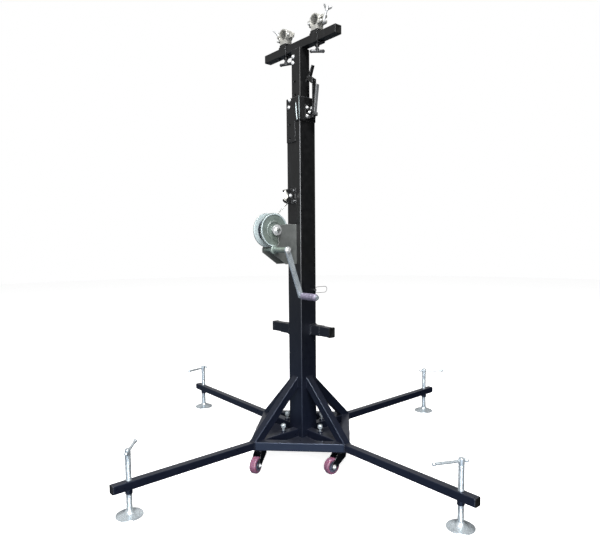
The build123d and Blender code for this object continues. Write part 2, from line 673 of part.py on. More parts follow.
def winch_pinion():
    y, z = pinion_place()
    far = CHEEK_FAR_X - 6
    phase = mesh_angle() + math.pi + math.pi / PINION_TEETH
    pinion = gear_disc(PINION_TEETH, MODULE, 1.25 * MODULE, 0.5, phase, y, z, GEAR_X - 1, GEAR_WIDTH + 2)
    shaft = rod((far, y, z), (1, 0, 0), PINION_SHAFT_R, ARM_X + ARM + 3 - far)
    shaft += rod((far, y, z), (1, 0, 0), 12, 4)
    shaft += rod((CHEEK_NEAR_X + CHEEK + 0.6, y, z), (1, 0, 0), 13, ARM_X - CHEEK_NEAR_X - CHEEK - 0.6)
    return shaft + pinion


def cheek_outline():
    pinion_y, pinion_z = pinion_place()
    face = -OUTER / 2 - 4
    return [(face, 985), (face, 1180), (DRUM_Y + 70, 1180), (DRUM_Y - 12, DRUM_Z + 19),
            (DRUM_Y - 20, DRUM_Z - 6), (DRUM_Y + 14, DRUM_Z - 34), (DRUM_Y + 16, DRUM_Z - 68),
            (pinion_y - 18, pinion_z + 10), (pinion_y - 18, pinion_z - 12), (pinion_y + 70, 985)]


def winch_frame():
    """A base plate on the mast, two cheeks and the fixed drum axle."""
    face = -OUTER / 2
    frame = block(CHEEK_FAR_X, CHEEK_NEAR_X + CHEEK, face - 4, face, 985, 1180)
    pinion_y, pinion_z = pinion_place()
    for x in (CHEEK_FAR_X, CHEEK_NEAR_X):
        cheek = plate_yz(cheek_outline(), x, CHEEK)
        cheek += rod((x, DRUM_Y, DRUM_Z), (1, 0, 0), 22, CHEEK)
        cheek += rod((x, pinion_y, pinion_z), (1, 0, 0), 19, CHEEK)
        cheek -= rod((x - 1, pinion_y, pinion_z), (1, 0, 0), PINION_SHAFT_R + RUNNING, CHEEK + 2)
        frame += cheek
    axle_start = CHEEK_FAR_X - 8
    frame += rod((axle_start, DRUM_Y, DRUM_Z), (1, 0, 0), DRUM_AXLE_R, 46 - axle_start)
    frame += rod((axle_start, DRUM_Y, DRUM_Z), (1, 0, 0), 13, 8)
    frame += rod((CHEEK_NEAR_X + CHEEK, DRUM_Y, DRUM_Z), (1, 0, 0), 12, 9)
    for z in (1015, 1150):
        frame += rod((-20, face - 4, z), (0, -1, 0), 7, 5)
    return frame


def grip_place():
    y, z = pinion_place()
    lean = math.radians(19.8)
    return y + CRANK_LENGTH * math.sin(lean), z - CRANK_LENGTH * math.cos(lean)


def crank_arm():
    y0, z0 = pinion_place()
    y1, z1 = grip_place()
    across = (-(z1 - z0) / CRANK_LENGTH, (y1 - y0) / CRANK_LENGTH)
    half = 12.5
    corners = [(y0 + across[0] * half, z0 + across[1] * half), (y1 + across[0] * half, z1 + across[1] * half),
               (y1 - across[0] * half, z1 - across[1] * half), (y0 - across[0] * half, z0 - across[1] * half)]
    arm = plate_yz(corners, ARM_X, ARM)
    arm += rod((ARM_X, y0, z0), (1, 0, 0), 15, ARM) + rod((ARM_X, y1, z1), (1, 0, 0), half, ARM)
    arm += rod((ARM_X + ARM, y1, z1), (1, 0, 0), 6, GRIP_X + GRIP_LENGTH + 1 - ARM_X - ARM)
    arm += rod((GRIP_X + GRIP_LENGTH + 0.3, y1, z1), (1, 0, 0), 10, 5)
    return arm - rod((ARM_X - 1, y0, z0), (1, 0, 0), PINION_SHAFT_R, ARM + 2)


def crank_grip():
    y, z = grip_place()
    bore = 6 + RUNNING
    end = GRIP_LENGTH
    points = [(bore, 0), (GRIP_R - 3, 0), (GRIP_R, 4), (GRIP_R - 1, end / 2), (GRIP_R, end - 12)]
    points += [(GRIP_R - 3, end - 3), (GRIP_R - 6, end), (bore, end)]
    return spun(points, (GRIP_X, y, z), (1, 0, 0))


# ---- rope ----
def rope():
    """Wound turns on the drum, the run to the guide pulley, and the run up inside the mast."""
    y_p, z_p = pulley_y(), PULLEY_Z
    r_d, r_p = DRUM_R + ROPE_R, PULLEY_PITCH_R
    gap = math.hypot(y_p - DRUM_Y, z_p - DRUM_Z)
    toward = math.atan2(z_p - DRUM_Z, y_p - DRUM_Y)
    offset = math.acos((r_d + r_p) / gap)
    leave = toward + offset
    meet = leave + math.pi
    a = Vector(ROPE_X, DRUM_Y + r_d * math.cos(leave), DRUM_Z + r_d * math.sin(leave))
    b = Vector(ROPE_X, y_p + r_p * math.cos(meet), z_p + r_p * math.sin(meet))
    c = Vector(ROPE_X, y_p + r_p, z_p)
    bend = (meet - 2 * math.pi) / 2
    m = Vector(ROPE_X, y_p + r_p * math.cos(bend), z_p + r_p * math.sin(bend))
    d = Vector(ROPE_X, y_p + r_p, OUTER_TOP - 110)
    run = Line(a, b) + ThreePointArc(b, m, c) + Line(c, d)
    section = Plane(origin=a, z_dir=(b - a)) * Circle(ROPE_R)
    return sweep(section, path=run)


def rope_turns():
    """Turns of rope wound on the drum barrel, each one ring, with room for the turn that pays out."""
    turns = []
    for k in (-3, -2, -1, 1, 2, 3):
        x = ROPE_X + 6.1 * k
        ring = rod((x - 2.9, DRUM_Y, DRUM_Z), (1, 0, 0), DRUM_R + 2 * ROPE_R, 5.8)
        turns.append(ring - rod((x - 4, DRUM_Y, DRUM_Z), (1, 0, 0), DRUM_R + RUNNING, 10))
    return turns


# ---- brackets ----
def storage_brackets():
    face = OUTER / 2
    mid_y, mid_z = 30.0, (STOW_LOW + STOW_HIGH) / 2
    root = RectangleRounded(40, STOW_HIGH - STOW_LOW, 3)
    arm = along_x(root, face, STOW_ROOT_END - face, mid_y, mid_z)
    arm += along_x(RectangleRounded(36, STOW_HIGH - STOW_LOW - 3, 3), STOW_ROOT_END, 64, mid_y, mid_z)
    arm += along_x(RectangleRounded(38, STOW_HIGH - STOW_LOW - 1, 3), STOW_END - 8, 8, mid_y, mid_z)
    arm += along_x(RectangleRounded(46, STOW_HIGH - STOW_LOW + 8, 2), face, 4, mid_y - 3, mid_z)
    return [arm, turned(arm, 180)]


def safety_ring():
    """A wire ring that hangs from an eye on the mast's side."""
    face = OUTER / 2
    loop = Plane(origin=(face + 11, 74, RING_Z), x_dir=(0, 1, 0), z_dir=(1, 0, 0)) * SlotOverall(80, 30)
    path = loop.wires()[0]
    ring = sweep(Plane(origin=path @ 0, z_dir=path % 0) * Circle(1.2), path=path)
    eye = rod((face, 34, RING_Z), (1, 0, 0), 5, 16)
    eye -= rod((face + 11, 25, RING_Z), (0, 1, 0), 1.5, 20)
    return ring, eye


def write_all():
    os.makedirs("parts", exist_ok=True)
    save("base_frame", base_frame())
    save("mast_outer", mast_outer())
    save("mast_middle", mast_middle())
    save("mast_inner", mast_inner())
    save("slide_pads", *slide_pads())
    save("head_collar", head_collar())
    save("latch_bracket", latch_bracket())
    save("latch_pawl", latch_pawl())
    save("latch_release", latch_release())
    save("t_bar", t_bar())
    save("pulley_bracket", pulley_bracket())
    save("guide_pulley", guide_pulley())
    save("winch_frame", winch_frame())
    save("winch_drum", winch_drum())
    save("winch_pinion", winch_pinion())
    save("crank_arm", crank_arm())
    save("crank_grip", crank_grip())
    save("rope", rope())
    save("rope_turns", *rope_turns())
    save("safety_ring", *safety_ring())
    save("storage_brackets", *storage_brackets())
    save("caster_plates", *caster_plates())
    for side in SLEEVE_X:
        save("sleeve_" + side, sleeve(side))
        save("sleeve_screw_" + side, sleeve_screw(side))
        save("clamp_saddle_" + side, clamp_saddle(side))
        save("clamp_jaw_" + side, clamp_jaw(side))
        save("clamp_bolt_" + side, *clamp_bolt(side))
    for side in LEGS:
        save("outrigger_" + side, outrigger(side))
        save("outrigger_lock_" + side, outrigger_lock(side))
        save("jack_screw_" + side, jack_screw(side))
        save("jack_bar_" + side, jack_bar(side))
        save("jack_foot_" + side, jack_foot(side))
        save("caster_fork_" + side, caster_fork(side))
        save("caster_wheel_" + side, caster_wheel(side))


write_all()
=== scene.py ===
import json
import math

import bmesh
import bpy
from mathutils import Matrix, Vector


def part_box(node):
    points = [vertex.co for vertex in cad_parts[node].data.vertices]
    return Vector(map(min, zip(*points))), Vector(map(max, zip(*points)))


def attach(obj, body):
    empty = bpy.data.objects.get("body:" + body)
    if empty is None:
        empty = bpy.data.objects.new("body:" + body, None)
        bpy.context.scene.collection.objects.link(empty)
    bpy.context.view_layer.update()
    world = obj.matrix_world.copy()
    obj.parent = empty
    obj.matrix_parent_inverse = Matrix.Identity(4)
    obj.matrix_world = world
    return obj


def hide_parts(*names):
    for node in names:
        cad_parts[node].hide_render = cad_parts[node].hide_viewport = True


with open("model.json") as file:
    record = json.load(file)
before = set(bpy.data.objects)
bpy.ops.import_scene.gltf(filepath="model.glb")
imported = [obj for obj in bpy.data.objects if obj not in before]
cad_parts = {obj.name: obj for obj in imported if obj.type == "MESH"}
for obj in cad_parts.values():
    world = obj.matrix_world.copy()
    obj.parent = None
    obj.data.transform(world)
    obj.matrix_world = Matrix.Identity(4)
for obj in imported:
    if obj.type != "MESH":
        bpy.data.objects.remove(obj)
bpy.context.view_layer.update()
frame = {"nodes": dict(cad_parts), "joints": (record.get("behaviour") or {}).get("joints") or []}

MM = 0.001
SIDES = ("right", "back", "left", "front")
CLAMP_SIDES = ("right", "left")
UP = Vector((0, 0, 1))
AHEAD = Vector((1, 0, 0))
BEFORE = Vector((0, -1, 0))
BESIDE = Vector((0, 1, 0))
NODES = frame["nodes"]
JOINTS = {joint["name"]: joint for joint in frame["joints"]}

# Sizes that follow the CAD, in metres and degrees.
MAST_HALF = 50 * MM
INNER_HALF = 32 * MM
SOCKET_HALF = 20 * MM
OUTRIGGER_HALF = 17.5 * MM
JACK_LEAD = 4 * MM
BOLT_LEAN = 28


def pivot(joint):
    return Vector(JOINTS[joint]["pos_m"])


def axis_of(joint):
    return Vector(JOINTS[joint]["axis"]).normalized()


def centre(node):
    low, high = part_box(node)
    return (low + high) / 2


# ---- node helpers for materials ----
class Paint:
    """A material's node tree, with short calls for the nodes that the materials share."""

    def __init__(self, name):
        self.material = bpy.data.materials.new(name)
        self.material.use_nodes = True
        self.tree = self.material.node_tree
        self.tree.nodes.clear()
        output = self.node("ShaderNodeOutputMaterial")
        self.shader = self.node("ShaderNodeBsdfPrincipled")
        self.link(self.shader.outputs["BSDF"], output.inputs["Surface"])
        self.place = self.node("ShaderNodeTexCoord").outputs["Object"]

    def node(self, kind, **settings):
        made = self.tree.nodes.new(kind)
        for key, value in settings.items():
            setattr(made, key, value)
        return made

    def link(self, start, end):
        self.tree.links.new(start, end)

    def feed(self, socket, value):
        if isinstance(value, bpy.types.NodeSocket):
            self.link(value, socket)
        else:
            socket.default_value = value

    def stretch(self, x, y, z):
        mapping = self.node("ShaderNodeMapping")
        self.link(self.place, mapping.inputs["Vector"])
        mapping.inputs["Scale"].default_value = (x, y, z)
        return mapping.outputs["Vector"]

    def noise(self, scale, detail=4.0, roughness=0.55, place=None):
        made = self.node("ShaderNodeTexNoise")
        self.link(place or self.place, made.inputs["Vector"])
        made.inputs["Scale"].default_value = scale
        made.inputs["Detail"].default_value = detail
        made.inputs["Roughness"].default_value = roughness
        return made.outputs["Fac"]

    def cells(self, scale):
        made = self.node("ShaderNodeTexVoronoi")
        self.link(self.place, made.inputs["Vector"])
        made.inputs["Scale"].default_value = scale
        return made.outputs["Distance"]

    def spread(self, value, low, high, out_low=0.0, out_high=1.0):
        made = self.node("ShaderNodeMapRange", clamp=True)
        self.feed(made.inputs["Value"], value)
        made.inputs["From Min"].default_value = low
        made.inputs["From Max"].default_value = high
        made.inputs["To Min"].default_value = out_low
        made.inputs["To Max"].default_value = out_high
        return made.outputs["Result"]

    def math(self, operation, a, b=0.0):
        made = self.node("ShaderNodeMath", operation=operation, use_clamp=operation == "MULTIPLY")
        self.feed(made.inputs[0], a)
        self.feed(made.inputs[1], b)
        return made.outputs[0]

    def blend(self, share, first, second):
        made = self.node("ShaderNodeMix", data_type="RGBA")
        self.feed(made.inputs["Factor"], share)
        self.feed(made.inputs[6], first if isinstance(first, bpy.types.NodeSocket) else (*first, 1))
        self.feed(made.inputs[7], second if isinstance(second, bpy.types.NodeSocket) else (*second, 1))
        return made.outputs[2]

    def bump(self, height, strength, depth, under=None):
        made = self.node("ShaderNodeBump")
        self.link(height, made.inputs["Height"])
        made.inputs["Strength"].default_value = strength
        made.inputs["Distance"].default_value = depth
        if under:
            self.link(under, made.inputs["Normal"])
        return made.outputs["Normal"]

    def rounded_edges(self, radius):
        made = self.node("ShaderNodeBevel", samples=6)
        made.inputs["Radius"].default_value = radius
        return made.outputs["Normal"]

    def edge_mask(self, radius, low=0.02, high=0.16):
        """1 along sharp edges, 0 on flat faces: how far the rounded normal turns from the real one."""
        normal = self.node("ShaderNodeNewGeometry").outputs["Normal"]
        dot = self.node("ShaderNodeVectorMath", operation="DOT_PRODUCT")
        self.link(self.rounded_edges(radius), dot.inputs[0])
        self.link(normal, dot.inputs[1])
        turn = self.math("SUBTRACT", 1.0, dot.outputs["Value"])
        return self.spread(turn, low, high)

    def facing_up(self):
        parts = self.node("ShaderNodeSeparateXYZ")
        self.link(self.node("ShaderNodeNewGeometry").outputs["Normal"], parts.inputs[0])
        return parts.outputs["Z"]

    def set(self, **values):
        for key, value in values.items():
            self.feed(self.shader.inputs[key.replace("_", " ")], value)
        return self


class Sky(Paint):
    """The same short calls for the world's node tree."""

    def __init__(self, world):
        world.use_nodes = True
        self.tree = world.node_tree
        self.tree.nodes.clear()
        self.place = self.node("ShaderNodeTexCoord").outputs["Generated"]


# ---- materials ----
def black_paint(name, corner=None):
    """Powder coat: fine orange peel, faint blotches, a little dust on top, bare steel on worn edges, and a
    painted blue reflection towards the bottom.
    corner is the half width of an upright tube whose corners get a painted highlight, stronger higher up."""
    p = Paint(name)
    blotch = p.noise(9.0, 5.0)
    scuff = p.spread(p.noise(26.0, 6.0, 0.7, p.stretch(1, 1, 0.25)), 0.54, 0.72)
    colour = p.blend(blotch, (0.0024, 0.0025, 0.0027), (0.0050, 0.0051, 0.0054))
    colour = p.blend(p.math("MULTIPLY", scuff, 0.35), colour, (0.016, 0.0165, 0.018))
    height = p.node("ShaderNodeSeparateXYZ")
    p.link(p.place, height.inputs[0])
    # Painted reflection: from about a metre down, the paint turns bluer and a shade lighter towards the
    # floor, standing in for bluish light from below.
    low = p.spread(height.outputs["Z"], 0.2, 1.0, 1.0, 0.0)
    colour = p.blend(low, colour, (0.0045, 0.0060, 0.0125))
    # Painted highlight: a light band down each corner of the upright tube stands in for the specular line on
    # its rounded corner.
    if corner:
        nearest = p.math("MINIMUM", p.math("ABSOLUTE", height.outputs["X"]),
                         p.math("ABSOLUTE", height.outputs["Y"]))
        rubbed = p.math("MULTIPLY", p.spread(nearest, corner - 3.2 * MM, corner - 1.4 * MM),
                        p.spread(height.outputs["Z"], 0.8, 1.05, 0.05, 0.8))
        colour = p.blend(rubbed, colour, (0.13, 0.135, 0.145))
    dust = p.math("MULTIPLY", p.spread(p.facing_up(), 0.6, 1.0, 0.0, 0.08), p.noise(60.0, 5.0))
    colour = p.blend(dust, colour, (0.20, 0.19, 0.18))
    chips = p.spread(p.noise(210.0, 5.0, 0.65), 0.42, 0.60)
    worn = p.math("MULTIPLY", p.edge_mask(0.0011), chips)
    colour = p.blend(worn, colour, (0.33, 0.34, 0.36))
    rough = p.spread(p.noise(38.0, 4.0), 0.3, 0.7, 0.27, 0.40)
    peel = p.bump(p.noise(1100.0, 2.0, 0.4), 0.16, 0.0004, p.rounded_edges(0.0012))
    waves = p.bump(p.noise(14.0, 2.0, 0.4), 0.12, 0.0012, peel)
    p.set(Base_Color=colour, Roughness=rough, Normal=waves, Metallic=p.math("MULTIPLY", worn, 0.7))
    # The specular tint also turns bluish towards the bottom, as part of the same painted reflection.
    return p.set(Specular_IOR_Level=0.66, Specular_Tint=p.blend(low, (1, 1, 1), (0.62, 0.74, 1.0))).material


def black_plastic():
    """Moulded caps: pebbled, duller and a shade lighter than the paint."""
    p = Paint("black_moulded_plastic")
    colour = p.blend(p.noise(30.0), (0.006, 0.006, 0.006), (0.011, 0.011, 0.011))
    pebble = p.bump(p.cells(1500.0), 0.30, 0.0003)
    p.set(Base_Color=colour, Roughness=p.spread(p.noise(80.0), 0.3, 0.7, 0.32, 0.45), Normal=pebble)
    return p.set(Specular_IOR_Level=0.22).material


def metal(name, dark, light, rough, grain=(1, 1, 1), grain_depth=0.10, stain=None, edge=0.0008, metallic=0.9,
          speck=0.30):
    """Plated or bare metal: cloudy tone, drawn grain, smudges in the gloss, brighter rubbed edges."""
    p = Paint(name)
    cloud = p.noise(22.0, 5.0, 0.6)
    colour = p.blend(p.spread(cloud, 0.3, 0.7), dark, light)
    if stain:
        colour = p.blend(p.spread(p.noise(7.0, 4.0), 0.45, 0.75, 0.0, 0.55), colour, stain)
    specks = p.spread(p.noise(420.0, 3.0), 0.60, 0.72, 0.0, speck)
    colour = p.blend(specks, colour, tuple(c * 0.55 for c in dark))
    rubbed = p.edge_mask(edge)
    colour = p.blend(p.math("MULTIPLY", rubbed, 0.55), colour, (0.86, 0.87, 0.87))
    lines = p.noise(900.0, 2.0, 0.5, p.stretch(*grain))
    smudge = p.noise(48.0, 5.0, 0.65)
    gloss = p.spread(p.math("ADD", p.math("MULTIPLY", lines, 0.4), p.math("MULTIPLY", smudge, 0.6)),
                     0.3, 0.7, rough - 0.08, rough + 0.10)
    normal = p.bump(lines, grain_depth, 0.0003, p.rounded_edges(edge))
    return p.set(Base_Color=colour, Metallic=metallic, Roughness=gloss, Normal=normal).material


def cast_aluminium():
    """Tumbled die casting: pitted skin, dark in the pores, bright where it has rubbed."""
    p = Paint("cast_aluminium")
    pores = p.spread(p.cells(620.0), 0.05, 0.45)
    colour = p.blend(pores, (0.20, 0.196, 0.176), (0.43, 0.426, 0.40))
    colour = p.blend(p.spread(p.noise(30.0, 5.0), 0.35, 0.65, 0.0, 0.4), colour, (0.38, 0.37, 0.32))
    colour = p.blend(p.math("MULTIPLY", p.edge_mask(0.0014), 0.7), colour, (0.80, 0.79, 0.74))
    skin = p.bump(p.noise(520.0, 4.0, 0.6), 0.45, 0.0006, p.rounded_edges(0.0015))
    rough = p.spread(p.noise(90.0, 4.0), 0.3, 0.7, 0.30, 0.52)
    return p.set(Base_Color=colour, Metallic=0.55, Roughness=rough, Normal=skin).material


def wheel_tread():
    """Cast polyurethane: clear red-pink, scuffed on the running face, light passing into it."""
    p = Paint("polyurethane_tread")
    colour = p.blend(p.noise(60.0, 4.0), (0.155, 0.042, 0.076), (0.23, 0.095, 0.150))
    scuff = p.spread(p.noise(240.0, 5.0, 0.7), 0.46, 0.68, 0.0, 0.60)
    colour = p.blend(scuff, colour, (0.25, 0.18, 0.28))
    p.set(Base_Color=colour, Roughness=p.spread(scuff, 0.0, 0.45, 0.18, 0.48), Coat_Weight=0.25)
    p.set(Subsurface_Weight=0.35, Subsurface_Radius=(0.012, 0.004, 0.004), Subsurface_Scale=0.6)
    return p.set(Normal=p.bump(p.noise(380.0, 4.0), 0.20, 0.0004)).material


def plastic(name, dark, light, rough, pebble_scale=900.0, pebble=0.18, glow=0.0):
    """Moulded nylon or handle plastic: soft mottling, fine pebble, faint scratches."""
    p = Paint(name)
    colour = p.blend(p.spread(p.noise(34.0, 4.0), 0.3, 0.7), dark, light)
    scratch = p.spread(p.noise(120.0, 6.0, 0.75, p.stretch(0.15, 1, 1)), 0.60, 0.72, 0.0, 0.35)
    colour = p.blend(scratch, colour, tuple(min(1.0, c * 1.35) for c in light))
    gloss = p.spread(p.noise(70.0, 4.0), 0.3, 0.7, rough - 0.06, rough + 0.08)
    normal = p.bump(p.cells(pebble_scale), pebble, 0.0003, p.rounded_edges(0.0008))
    p.set(Base_Color=colour, Roughness=gloss, Normal=normal, Subsurface_Weight=glow)
    return p.set(Subsurface_Radius=(0.004, 0.004, 0.004)).material


BLACK = black_paint("black_powder_coat")
# The mast's paint carries the painted corner highlight.
MAST = black_paint("black_powder_coat_mast", MAST_HALF)
CAP = black_plastic()
ZINC = metal("bright_zinc", (0.50, 0.56, 0.60), (0.76, 0.83, 0.87), 0.26, (1, 1, 0.08), 0.06,
             metallic=0.72, speck=0.06)
# A darkened copy of the zinc: painted shade on the pulley bolts and the latch release.
SHADE = metal("zinc_painted_shade", (0.13, 0.135, 0.14), (0.24, 0.245, 0.25), 0.36, (1, 1, 0.2), 0.12, metallic=0.6)
WINCH = metal("winch_zinc", (0.145, 0.180, 0.162), (0.24, 0.29, 0.27), 0.38, (1, 0.2, 1), 0.14,
              (0.24, 0.28, 0.22), 0.0012, 0.5)
CHEEK = metal("winch_cheek", (0.11, 0.118, 0.113), (0.18, 0.19, 0.183), 0.36, (1, 0.2, 1), 0.12,
              (0.14, 0.145, 0.13), 0.0014, 0.5)
# A lit copy of the zinc: painted highlight on the drum flange, the gear rim and the collar's left strip.
LIT_ZINC = metal("zinc_painted_highlight", (0.38, 0.45, 0.46), (0.52, 0.59, 0.60), 0.30, (1, 0.3, 1), 0.08,
               metallic=0.35, speck=0.1)
BOLT = metal("bolt_zinc", (0.62, 0.63, 0.63), (0.82, 0.83, 0.83), 0.26, (1, 1, 1), 0.08, metallic=0.6)
FORK = metal("black_zinc", (0.010, 0.012, 0.018), (0.030, 0.034, 0.046), 0.36, (1, 1, 0.1), 0.10,
             edge=0.0007)
DARK = metal("dark_steel", (0.030, 0.031, 0.033), (0.070, 0.072, 0.075), 0.36, (1, 1, 0.2), 0.10,
             metallic=0.7)
ROPE = metal("steel_rope", (0.26, 0.26, 0.25), (0.48, 0.48, 0.46), 0.38, (1, 1, 1), 0.16, metallic=0.7)
# Painted highlight for the bend at the collar's corner.
EDGE = metal("corner_painted_highlight", (0.16, 0.20, 0.205), (0.26, 0.31, 0.315), 0.34, metallic=0.4)
ALUMINIUM = cast_aluminium()
TREAD = wheel_tread()
NYLON = plastic("natural_nylon", (0.62, 0.60, 0.53), (0.80, 0.79, 0.73), 0.42, glow=0.15)
GRIP = plastic("grip_plastic", (0.11, 0.10, 0.14), (0.19, 0.17, 0.23), 0.36, 1300.0, 0.22)
HUB = plastic("hub_nylon", (0.045, 0.050, 0.075), (0.085, 0.090, 0.135), 0.40)


# ---- mesh helpers ----
def finish_mesh(name, verts, faces, material, body, slot, sharp=40.0):
    """Makes the mesh, smooths all but its sharp edges, and hangs it on a CAD body."""
    mesh = bpy.data.meshes.new(name)
    mesh.from_pydata([tuple(v) for v in verts], [], faces)
    mesh.validate()
    mesh.polygons.foreach_set("use_smooth", [True] * len(mesh.polygons))
    mesh.set_sharp_from_angle(angle=math.radians(sharp))
    mesh.materials.append(material)
    piece = bpy.data.objects.new(name, mesh)
    bpy.context.scene.collection.objects.link(piece)
    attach(piece, body)
    return piece


def skin(rings, closed=False):
    """Quads between equal rings of points, with a fan over each end, or joined end to end."""
    count = len(rings[0])
    verts = [point for ring in rings for point in ring]
    faces = []
    spans = len(rings) if closed else len(rings) - 1
    for r in range(spans):
        a, b = r * count, (r + 1) % len(rings) * count
        for k in range(count):
            n = (k + 1) % count
            faces.append((a + k, a + n, b + n, b + k))
    if not closed:
        for start, flip in ((0, True), ((len(rings) - 1) * count, False)):
            hub = len(verts)
            verts.append(sum((verts[start + k] for k in range(count)), Vector()) / count)
            for k in range(count):
                n = (k + 1) % count
                faces.append((hub, start + n, start + k) if flip else (hub, start + k, start + n))
    return verts, faces


def cross_axes(axis):
    side = axis.cross(Vector((0, 0, 1)) if abs(axis.z) < 0.9 else Vector((0, 1, 0))).normalized()
    return side, axis.cross(side)


def fillet(profile, radius, steps=3):
    """Rounds each inner corner of an open (radius, height) outline, by less where a side is short."""
    out = [Vector(profile[0])]
    for before, here, after in zip(profile, profile[1:], profile[2:]):
        before, here, after = Vector(before), Vector(here), Vector(after)
        reach = min(radius, (before - here).length * 0.45, (after - here).length * 0.45)
        start = here + (before - here).normalized() * reach
        end = here + (after - here).normalized() * reach
        for n in range(steps + 1):
            t = n / steps
            out.append(start * (1 - t) ** 2 + here * 2 * t * (1 - t) + end * t**2)
    out.append(Vector(profile[-1]))
    return out


def lathe(name, profile, origin, axis, material, body, slot, segments=64, flutes=None, bore=False):
    """Turns (radius, height) points about an axis. flutes(height, angle) scales the radius."""
    side, over = cross_axes(axis)
    rings = []
    for radius, height in profile:
        ring = []
        for k in range(segments):
            angle = 2 * math.pi * k / segments
            r = radius * (flutes(height, angle) if flutes else 1.0)
            ring.append(origin + axis * height + (side * math.cos(angle) + over * math.sin(angle)) * r)
        rings.append(ring)
    verts, faces = skin(rings, closed=bore)
    return finish_mesh(name, verts, faces, material, body, slot)


def sweep_tube(name, path, section, material, body, slot, closed=False, sharp=50.0):
    """Carries section(k) -> [(u, v)] along a path of points, with the frame kept from twisting."""
    rings = []
    count = len(path)
    tangent = (path[1] - path[0]).normalized()
    side, _ = cross_axes(tangent)
    for k in range(count):
        ahead = path[(k + 1) % count] if closed else path[min(k + 1, count - 1)]
        behind = path[k - 1] if closed else path[max(k - 1, 0)]
        tangent = (ahead - behind).normalized()
        side = (side - tangent * side.dot(tangent)).normalized()
        over = tangent.cross(side)
        rings.append([path[k] + side * u + over * v for u, v in section(k)])
    verts, faces = skin(rings, closed=closed)
    return finish_mesh(name, verts, faces, material, body, slot, sharp)


def circle(radius, count=12, phase=0.0):
    turn = 2 * math.pi / count
    return [(radius * math.cos(turn * k + phase), radius * math.sin(turn * k + phase)) for k in range(count)]


def thread(name, origin, axis, low, high, crest, root, pitch, material, body, slot, segments=28):
    """A trapezoid thread between two heights, run out flat at both ends."""
    side, over = cross_axes(axis)
    shape = (root, root, crest, crest)
    steps = (0.0, 0.22, 0.48, 0.74)
    turns = int((high - low) / pitch) + 2
    columns = []
    for i in range(segments + 1):
        angle = 2 * math.pi * i / segments
        out = side * math.cos(angle) + over * math.sin(angle)
        column = []
        for j in range(turns):
            for radius, step in zip(shape, steps):
                height = low + (j - 1 + step + i / segments) * pitch
                inside = low < height < high
                height = min(max(height, low), high)
                column.append(origin + axis * height + out * (radius if inside else root))
        columns.append(column)
    rows = len(columns[0])
    rings = [[columns[i][j] for i in range(segments)] for j in range(rows)]
    verts = [point for ring in rings for point in ring]
    faces = []
    for j in range(rows - 1):
        for i in range(segments):
            if i + 1 < segments:
                quad = (j * segments + i, j * segments + i + 1,
                        (j + 1) * segments + i + 1, (j + 1) * segments + i)
            elif j + 5 < rows:
                quad = (j * segments + i, (j + 4) * segments, (j + 5) * segments, (j + 1) * segments + i)
            else:
                continue
            faces.append(quad)
    return weld_up(name, verts, faces, material, body, slot)


def weld_up(name, verts, faces, material, body, slot):
    """Merges points that meet, drops faces with no area, and closes any open rim."""
    bm = bmesh.new()
    made = [bm.verts.new(v) for v in verts]
    for face in faces:
        bm.faces.new([made[k] for k in face])
    bmesh.ops.remove_doubles(bm, verts=bm.verts, dist=1e-6)
    bmesh.ops.dissolve_degenerate(bm, edges=bm.edges, dist=1e-6)
    bmesh.ops.holes_fill(bm, edges=bm.edges, sides=0)
    bmesh.ops.recalc_face_normals(bm, faces=bm.faces)
    bm.verts.index_update()
    points = [v.co.copy() for v in bm.verts]
    polygons = [tuple(v.index for v in f.verts) for f in bm.faces]
    bm.free()
    return finish_mesh(name, points, polygons, material, body, slot)


def rounded_rectangle(width, height, corner, steps=4):
    points = []
    for sx, sy, start in ((1, 1, 0), (-1, 1, 90), (-1, -1, 180), (1, -1, 270)):
        for n in range(steps + 1):
            angle = math.radians(start + 90 * n / steps)
            points.append((sx * (width / 2 - corner) + corner * math.cos(angle),
                           sy * (height / 2 - corner) + corner * math.sin(angle)))
    return points


def end_cap(name, at, axis, across, width, height, thick, body, slot):
    """A moulded plug on a tube's end: a rounded plate with a softened rim and a sunk middle."""
    over = axis.cross(across)
    soft = 1.2 * MM
    rings = []
    for inset, out in ((0, 0), (0, thick - soft), (soft * 0.4, thick - soft * 0.3), (soft, thick),
                       (5 * MM, thick), (6 * MM, thick - 0.8 * MM)):
        outline = rounded_rectangle(width - 2 * inset, height - 2 * inset, max(3.5 * MM - inset, 0.6 * MM))
        rings.append([at + axis * out + across * u + over * v for u, v in outline])
    return finish_mesh(name, *skin(rings), CAP, body, slot)


def hexagon(flats, turn):
    corner = flats / math.sqrt(3)
    return [(corner * math.cos(math.radians(60 * k) + turn), corner * math.sin(math.radians(60 * k) + turn))
            for k in range(6)]


def hex_head(name, at, axis, flats, height, body, slot, washer=1.25, turn=0.4, stud=0.0, skin_of=None):
    """A washer and a hexagon head with chamfered corners, and the stud's end where it is a nut."""
    side, over = cross_axes(axis)
    coat = skin_of or BOLT
    plate = 1.4 * MM
    profile = fillet([(flats * washer * 0.3, 0), (flats * washer * 0.75, 0), (flats * washer * 0.75, plate),
                      (flats * 0.3, plate)], 0.3 * MM)
    lathe(name + "_washer", profile, at, axis, coat, body, slot, 40)
    rings = []
    crown = plate + height
    for scale, out in ((1.0, plate), (1.0, plate + height * 0.78), (0.87, crown), (0.80, crown)):
        rings.append([at + axis * out + (side * u + over * v) * scale for u, v in hexagon(flats, turn)])
    finish_mesh(name, *skin(rings), coat, body, slot, 25)
    if stud:
        r = flats * 0.30
        end = plate + height + stud
        profile = fillet([(r * 0.5, plate), (r, plate), (r, end), (r * 0.6, end + r * 0.3)], r * 0.3)
        lathe(name + "_stud", profile, at, axis, BOLT, body, slot, 24)


